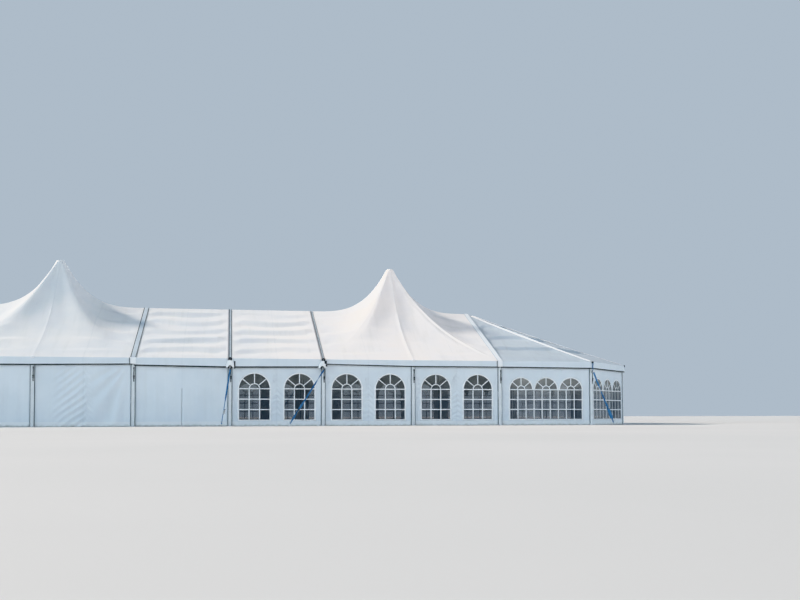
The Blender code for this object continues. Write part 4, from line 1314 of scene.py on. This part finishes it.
def collarLoopsAndMouthShade():
    # the dark loop in the collar's mouth that the ground strap hangs from, which also lines the mouth as
    # painted shade
    bm = bmesh.new()
    look, turns = collarLoop, spaced(0.0, pi, 16)
    for number in capFrames:
        for side in (-1, 1):
            matrix = onLeg(frameX[number], side)
            lean = collar["lean"][number] * side
            points = []
            for turn in turns:
                z = look["z"] + look["rise"] * sin(turn)
                points.append(matrix @ Vector((lean + look["half"] * cos(turn), look["out"], z)))
            across = [matrix.to_3x3() @ Vector((0, 1, 0))] * len(turns)
            band(bm, points, across, look["wide"], look["thick"], 0)
            for x in (lean - look["half"], lean + look["half"]):
                low, high = zip((x - look["block"], x + look["block"]), look["deep"], look["high"])
                part(bm, matrix, low, high, 0, 0.004)
    return finish("collar_loops_and_mouth_shade", bm, [plastic])


eaveCaps()
collars = [collarCloth(number, side) for number in capFrames for side in (-1, 1)]
collarLoopsAndMouthShade()

valanceTrim = {
    "lacingAt": -0.1105, "lacing": (0.015, 0.008), "lacingOut": 0.0465, "lacingTop": 2.168,
    "bump": ((-0.048, 0.0, 2.125), (0.048, 0.060, 2.192)),
}
cornerTie = {
    "out": 0.047, "top": 2.150, "feet": {1: 1.865, 2: 2.09, 3: 2.09, 4: 1.865}, "size": (0.040, 0.004),
    "bracket": ((-0.034, 0.020, 2.122), (0.034, 0.062, 2.184)),
}


def valanceTrims():
    # the black lacing beside each cover's flap, and the small white bump over each middle leg
    bm = bmesh.new()
    for number in (0, 1, 4):
        for side in (-1, 1):
            foot = eaveZ - hangOf(frameX[number]) + 0.004
            aside, out = valanceTrim["lacingAt"] * side, valanceTrim["lacingOut"]
            hangingBand(bm, onLeg(frameX[number], side), spaced(valanceTrim["lacingTop"], foot, 9),
                        lambda z: (aside + 0.003 * sin(z * 40), out), lambda z: 0.0, *valanceTrim["lacing"], 1)
    for side in (-1, 1):
        for x in kneeX:
            part(bm, onLeg(x, side), *valanceTrim["bump"], 0, 0.012)
    return finish("valance_trims", bm, [weldedWhite, darkTapeAndHemShadow])


def cornerBands():
    # the dark tie that holds each end's corner down over the valance, and its bracket
    bm = bmesh.new()
    for number, matrix in cornerPlaces():
        hangingBand(bm, matrix, spaced(cornerTie["top"], cornerTie["feet"][number], 10),
                    lambda z: (0.004 * sin(z * 26), cornerTie["out"] + 0.006 * sin(z * 19) ** 2),
                    lambda z: 0.2 * sin(z * 14), *cornerTie["size"], 0)
        part(bm, matrix, *cornerTie["bracket"], 1, 0.008)
    return finish("corner_ties", bm, [blueWebbing, plastic])


valanceTrims()
cornerBands()
print("eave details made")

groundStrap = {
    "web": (0.048, 0.0035),  # wide and thick
    "tabTop": 1.84, "tabLong": 0.10, "footHeight": 0.10, "sag": 0.010, "tail": 26,
    # low and high corner, material, rounding: the bracket on the leg, then the ratchet, its axle and its drum
    "bracket": (((-0.034, 0.0045, 1.775), (0.034, 0.0105, 1.850), 1, 0.002),
                ((-0.006, 0.0105, 1.785), (0.006, 0.086, 1.838), 1, 0.002)),
    "bolts": (1.788, 1.838),
    "shackle": (0.020, 0.0042),
    "ratchetAt": 0.80,
    "ratchet": (((-0.030, -0.075, -0.004), (-0.026, 0.075, 0.036), 1, 0.0015),
                ((0.026, -0.075, -0.004), (0.030, 0.075, 0.036), 1, 0.0015),
                ((-0.026, -0.070, -0.004), (0.026, 0.050, 0.0), 1, 0.001),
                ((-0.036, -0.10, 0.020), (-0.0325, 0.05, 0.040), 1, 0.001),
                ((0.0325, -0.10, 0.020), (0.036, 0.05, 0.040), 1, 0.001),
                ((-0.036, -0.115, 0.022), (0.036, -0.095, 0.044), 2, 0.006)),
    "rounds": ((0.040, 0.009, 1, 14), (0.024, 0.021, 0, 18)),  # half length, radius, material, sides
    # the spare webbing is wound round the strap: from, to and how far out
    "bundles": ((0.60, 0.755, 0.024), (0.855, 0.93, 0.024)),
    "cornerBundles": ((0.62, 0.735, 0.022), (0.745, 0.925, 0.046)),
    "pitch": 0.031,
    # the loop round the stake, the stake and its head: from, to, radius, material, sides, radius at the top
    "stake": ((0.082, 0.118, 0.0215, 0, 18, None), (0.0, 0.138, 0.014, 1, 16, None),
              (0.138, 0.15, 0.026, 1, 18, 0.029)),
}


def makeGroundStrap(node, root, outward, foot, twist, bundles):
    bm = bmesh.new()
    look = groundStrap
    root, outward = Vector((*root, 0.0)), Vector((*outward, 0.0)).normalized()
    side = outward.cross(Vector((0, 0, 1)))
    top = root + outward * (look["tabLong"] - 0.014) + Vector((0, 0, look["tabTop"] - 0.03))
    foot = Vector((*foot, look["footHeight"]))
    way = (foot - top).normalized()
    normal = way.cross(side).normalized()
    level = normal.cross(way).normalized()
    if level.dot(side) < 0:
        level, normal = -level, -normal

    def widthAt(turn, flat=1.0):
        return level * cos(turn) + normal * sin(turn) * flat

    upright = standing(root.xy, outward.xy)
    for block in look["bracket"]:
        part(bm, upright, *block)
    for z in look["bolts"]:
        rod(bm, upright @ Vector((0.021, 0.0105, z)), upright @ Vector((0.021, 0.0155, z)), 0.006, 1, sides=6)
    ring(bm, top - way * 0.004, side, *look["shackle"], 1)
    # the webbing, twisted on its way down, with a slight sag, and its tail, doubled back from the shackle
    shares = spaced(0.0, 1.0, 90)
    points = [top.lerp(foot, share) + normal * look["sag"] * sin(pi * share) for share in shares]
    across = [widthAt(twist(share)) for share in shares]
    band(bm, points, across, *look["web"], 0)
    tail = [point + normal * (0.006 + 0.004 * sin(number * 0.5))
            for number, point in enumerate(points[:look["tail"]])]
    band(bm, tail, across[:look["tail"]], *look["web"], 0)
    wide = widthAt(twist(look["ratchetAt"]))
    ratchet = placed(Matrix((wide, way, way.cross(wide).normalized())).transposed(),
                     top.lerp(foot, look["ratchetAt"]) + normal * 0.006)
    for block in look["ratchet"]:
        part(bm, ratchet, *block)
    for half, radius, material, sides in look["rounds"]:
        rod(bm, *(ratchet @ Vector((x, 0.03, 0.022)) for x in (-half, half)), radius, material, sides=sides)
    for low, high, wound in bundles:
        count = round((foot - top).length * (high - low) / look["pitch"])
        winding, lie = [], []
        for share in spaced(0.0, 1.0, count * 16):
            turn = 2 * pi * count * share
            aside = widthAt(turn, 0.85)
            spread = wound + 0.012 * sin(pi * share) + 0.004 * sin(turn * 0.37)
            winding.append(top.lerp(foot, low + (high - low) * share) + aside * spread)
            lie.append((way + aside * (0.13 + 0.04 * sin(turn * 0.61))).normalized())
        band(bm, winding, lie, look["web"][0] * 0.85, look["web"][1], 0)
    for low, high, radius, material, sides, tip in look["stake"]:
        rod(bm, Vector((foot.x, foot.y, low)), Vector((foot.x, foot.y, high)), radius, material, sides, tip)
    return finish(f"{node}_webbing", bm, [blueWebbing, steel, plastic], [node], smooth=40)


def facingThenEdge(share):
    return 0.1 + 0.95 * ease(share, 0.46, 0.62)


def turnedOnce(share):
    return pi * ease(share, 0.05, 0.36) + 0.25 * sin(share * 9)


def turnedLate(share):
    return 1.2 - pi * ease(share, 0.18, 0.5)


strapFeet = ((2, (-0.25, 5.5), facingThenEdge, ()), (3, (-1.15, 5.7), turnedOnce, groundStrap["bundles"]))
for side, mark in (("front", -1), ("back", 1)):
    for number, (place, (aside, out), twist, bundles) in enumerate(strapFeet, 1):
        name, x = f"{side}_ground_strap_{number}", frameX[place]
        makeGroundStrap(name, (x, mark * faceY), (0, mark), (x + aside, mark * out), twist, bundles)
    for end, hand in (("left", -1), ("right", 1)):
        outward = Vector((hand * sin(tent["turn"] / 2), mark * cos(tent["turn"] / 2)))
        root = Vector((hand * planCorners(0.0)[1].x, mark * faceY))
        makeGroundStrap(f"{side}_{end}_corner_strap", root, outward, root + outward * 0.98, turnedLate,
                        groundStrap["cornerBundles"])
print("ground straps made")


# floor, light and camera

bm = bmesh.new()
bmesh.ops.create_grid(bm, x_segments=1, y_segments=1, size=400.0)
mesh = bpy.data.meshes.new("floor")
bm.to_mesh(mesh)
bm.free()
paleFloor = patchyFinish("pale_floor", (0.15, 4.0, 0.3, 0.7), ((0.62, 0.625, 0.62), (0.66, 0.66, 0.655)),
                         Roughness=0.85)
mesh.materials.append(paleFloor)
floor = bpy.data.objects.new("floor", mesh)
bpy.context.collection.objects.link(floor)
floor.location.z = -0.0005

lights = {
    # from the left and behind, so it rakes the front slope and the walls stay in shade
    "soft_sun": {"turn": -118, "height": 33, "energy": 4.25, "angle": 6, "colour": (1.0, 0.86, 0.74)},
    # a wide low light that shows the folds of the walls
    "soft_fill": {"turn": -75, "height": 9, "energy": 1.65, "angle": 25, "colour": (0.76, 0.90, 1.0)},
    # a faint one from the other side
    "soft_side": {"turn": 52, "height": 14, "energy": 1.1, "angle": 25, "colour": (0.86, 0.93, 1.0)},
}
# over the right peak
warmPanel = {"at": (5.8, -4.4, 10.0), "energy": 125.0, "size": 3.0, "colour": (1.0, 0.60, 0.36)}
skyLook = {
    "strength": 0.41, "colour": (0.62, 0.81, 1.0), "backdrop": (0.46, 0.54, 0.62),
    "range": (0.92, 1.12),  # shares of the strength, away from the sun and towards it
}


def newLamp(name, kind, look):
    lamp = bpy.data.lights.new(name, kind)
    lamp.energy, lamp.color = look["energy"], look["colour"]
    holder = bpy.data.objects.new(name, lamp)
    bpy.context.collection.objects.link(holder)
    return lamp, holder


towards = {}
for name, look in lights.items():
    lamp, holder = newLamp(name, "SUN", look)
    lamp.angle = radians(look["angle"])
    turn, height = radians(look["turn"]), radians(look["height"])
    towards[name] = Vector((sin(turn) * cos(height), -cos(turn) * cos(height), sin(height)))
    holder.rotation_mode = "QUATERNION"
    holder.rotation_quaternion = towards[name].to_track_quat("Z", "Y")
lamp, holder = newLamp("warm_panel", "AREA", warmPanel)
lamp.size = warmPanel["size"]
holder.location = warmPanel["at"]
holder.visible_camera = False

world = bpy.data.worlds.new("soft_sky")
kit = NodeKit(world)
towardsSun = kit.add("VectorMath", {"operation": "DOT_PRODUCT"})
sunSide = (*towards["soft_sun"].xy, 0.5)
kit.into(towardsSun, {0: kit.coordinates.outputs["Generated"], 1: sunSide})
strengths = [skyLook["strength"] * share for share in skyLook["range"]]
glow = kit.ramp(towardsSun.outputs["Value"], -1.0, 1.0, *strengths)
sky = kit.into(kit.tree.nodes["Background"], {"Color": skyLook["colour"], "Strength": glow})
backdrop = kit.add("Background", Color=skyLook["backdrop"])
seen = kit.add("MixShader")
kit.into(seen, {0: kit.add("LightPath").outputs["Is Camera Ray"], 1: sky.outputs[0], 2: backdrop.outputs[0]})
kit.into(kit.tree.nodes["World Output"], {"Surface": seen.outputs[0]})
bpy.context.scene.world = world
bpy.context.scene.view_settings.view_transform = "Khronos PBR Neutral"

view = {
    "at": (0.01068, -34.1300, 0.30925),
    "yaw": 0.184757,
    "pitch": 0.037381,
    "roll": -0.0020587,
    "focalPixels": 908.312,
    "imageWidth": 800,
    "middleRow": 382.096,  # row of the photo that the lens axis meets
    "imageMiddle": 300,
}
forward = Vector((sin(view["yaw"]) * cos(view["pitch"]), cos(view["yaw"]) * cos(view["pitch"]),
                  sin(view["pitch"])))
right = Vector((cos(view["yaw"]), -sin(view["yaw"]), 0.0))
up = right.cross(forward)
tilt = Matrix.Rotation(-view["roll"], 3, forward)
lensData = bpy.data.cameras.new("camera")
lensData.sensor_width = 36.0
lensData.lens = lensData.sensor_width * view["focalPixels"] / view["imageWidth"]
lensData.shift_y = (view["middleRow"] - view["imageMiddle"]) / view["imageWidth"]
lensData.clip_end = 500.0
camera = bpy.data.objects.new("camera", lensData)
camera.matrix_world = placed(Matrix((tilt @ right, tilt @ up, -forward)).transposed(), Vector(view["at"]))
bpy.context.collection.objects.link(camera)
bpy.context.scene.camera = camera
print("camera and light set")
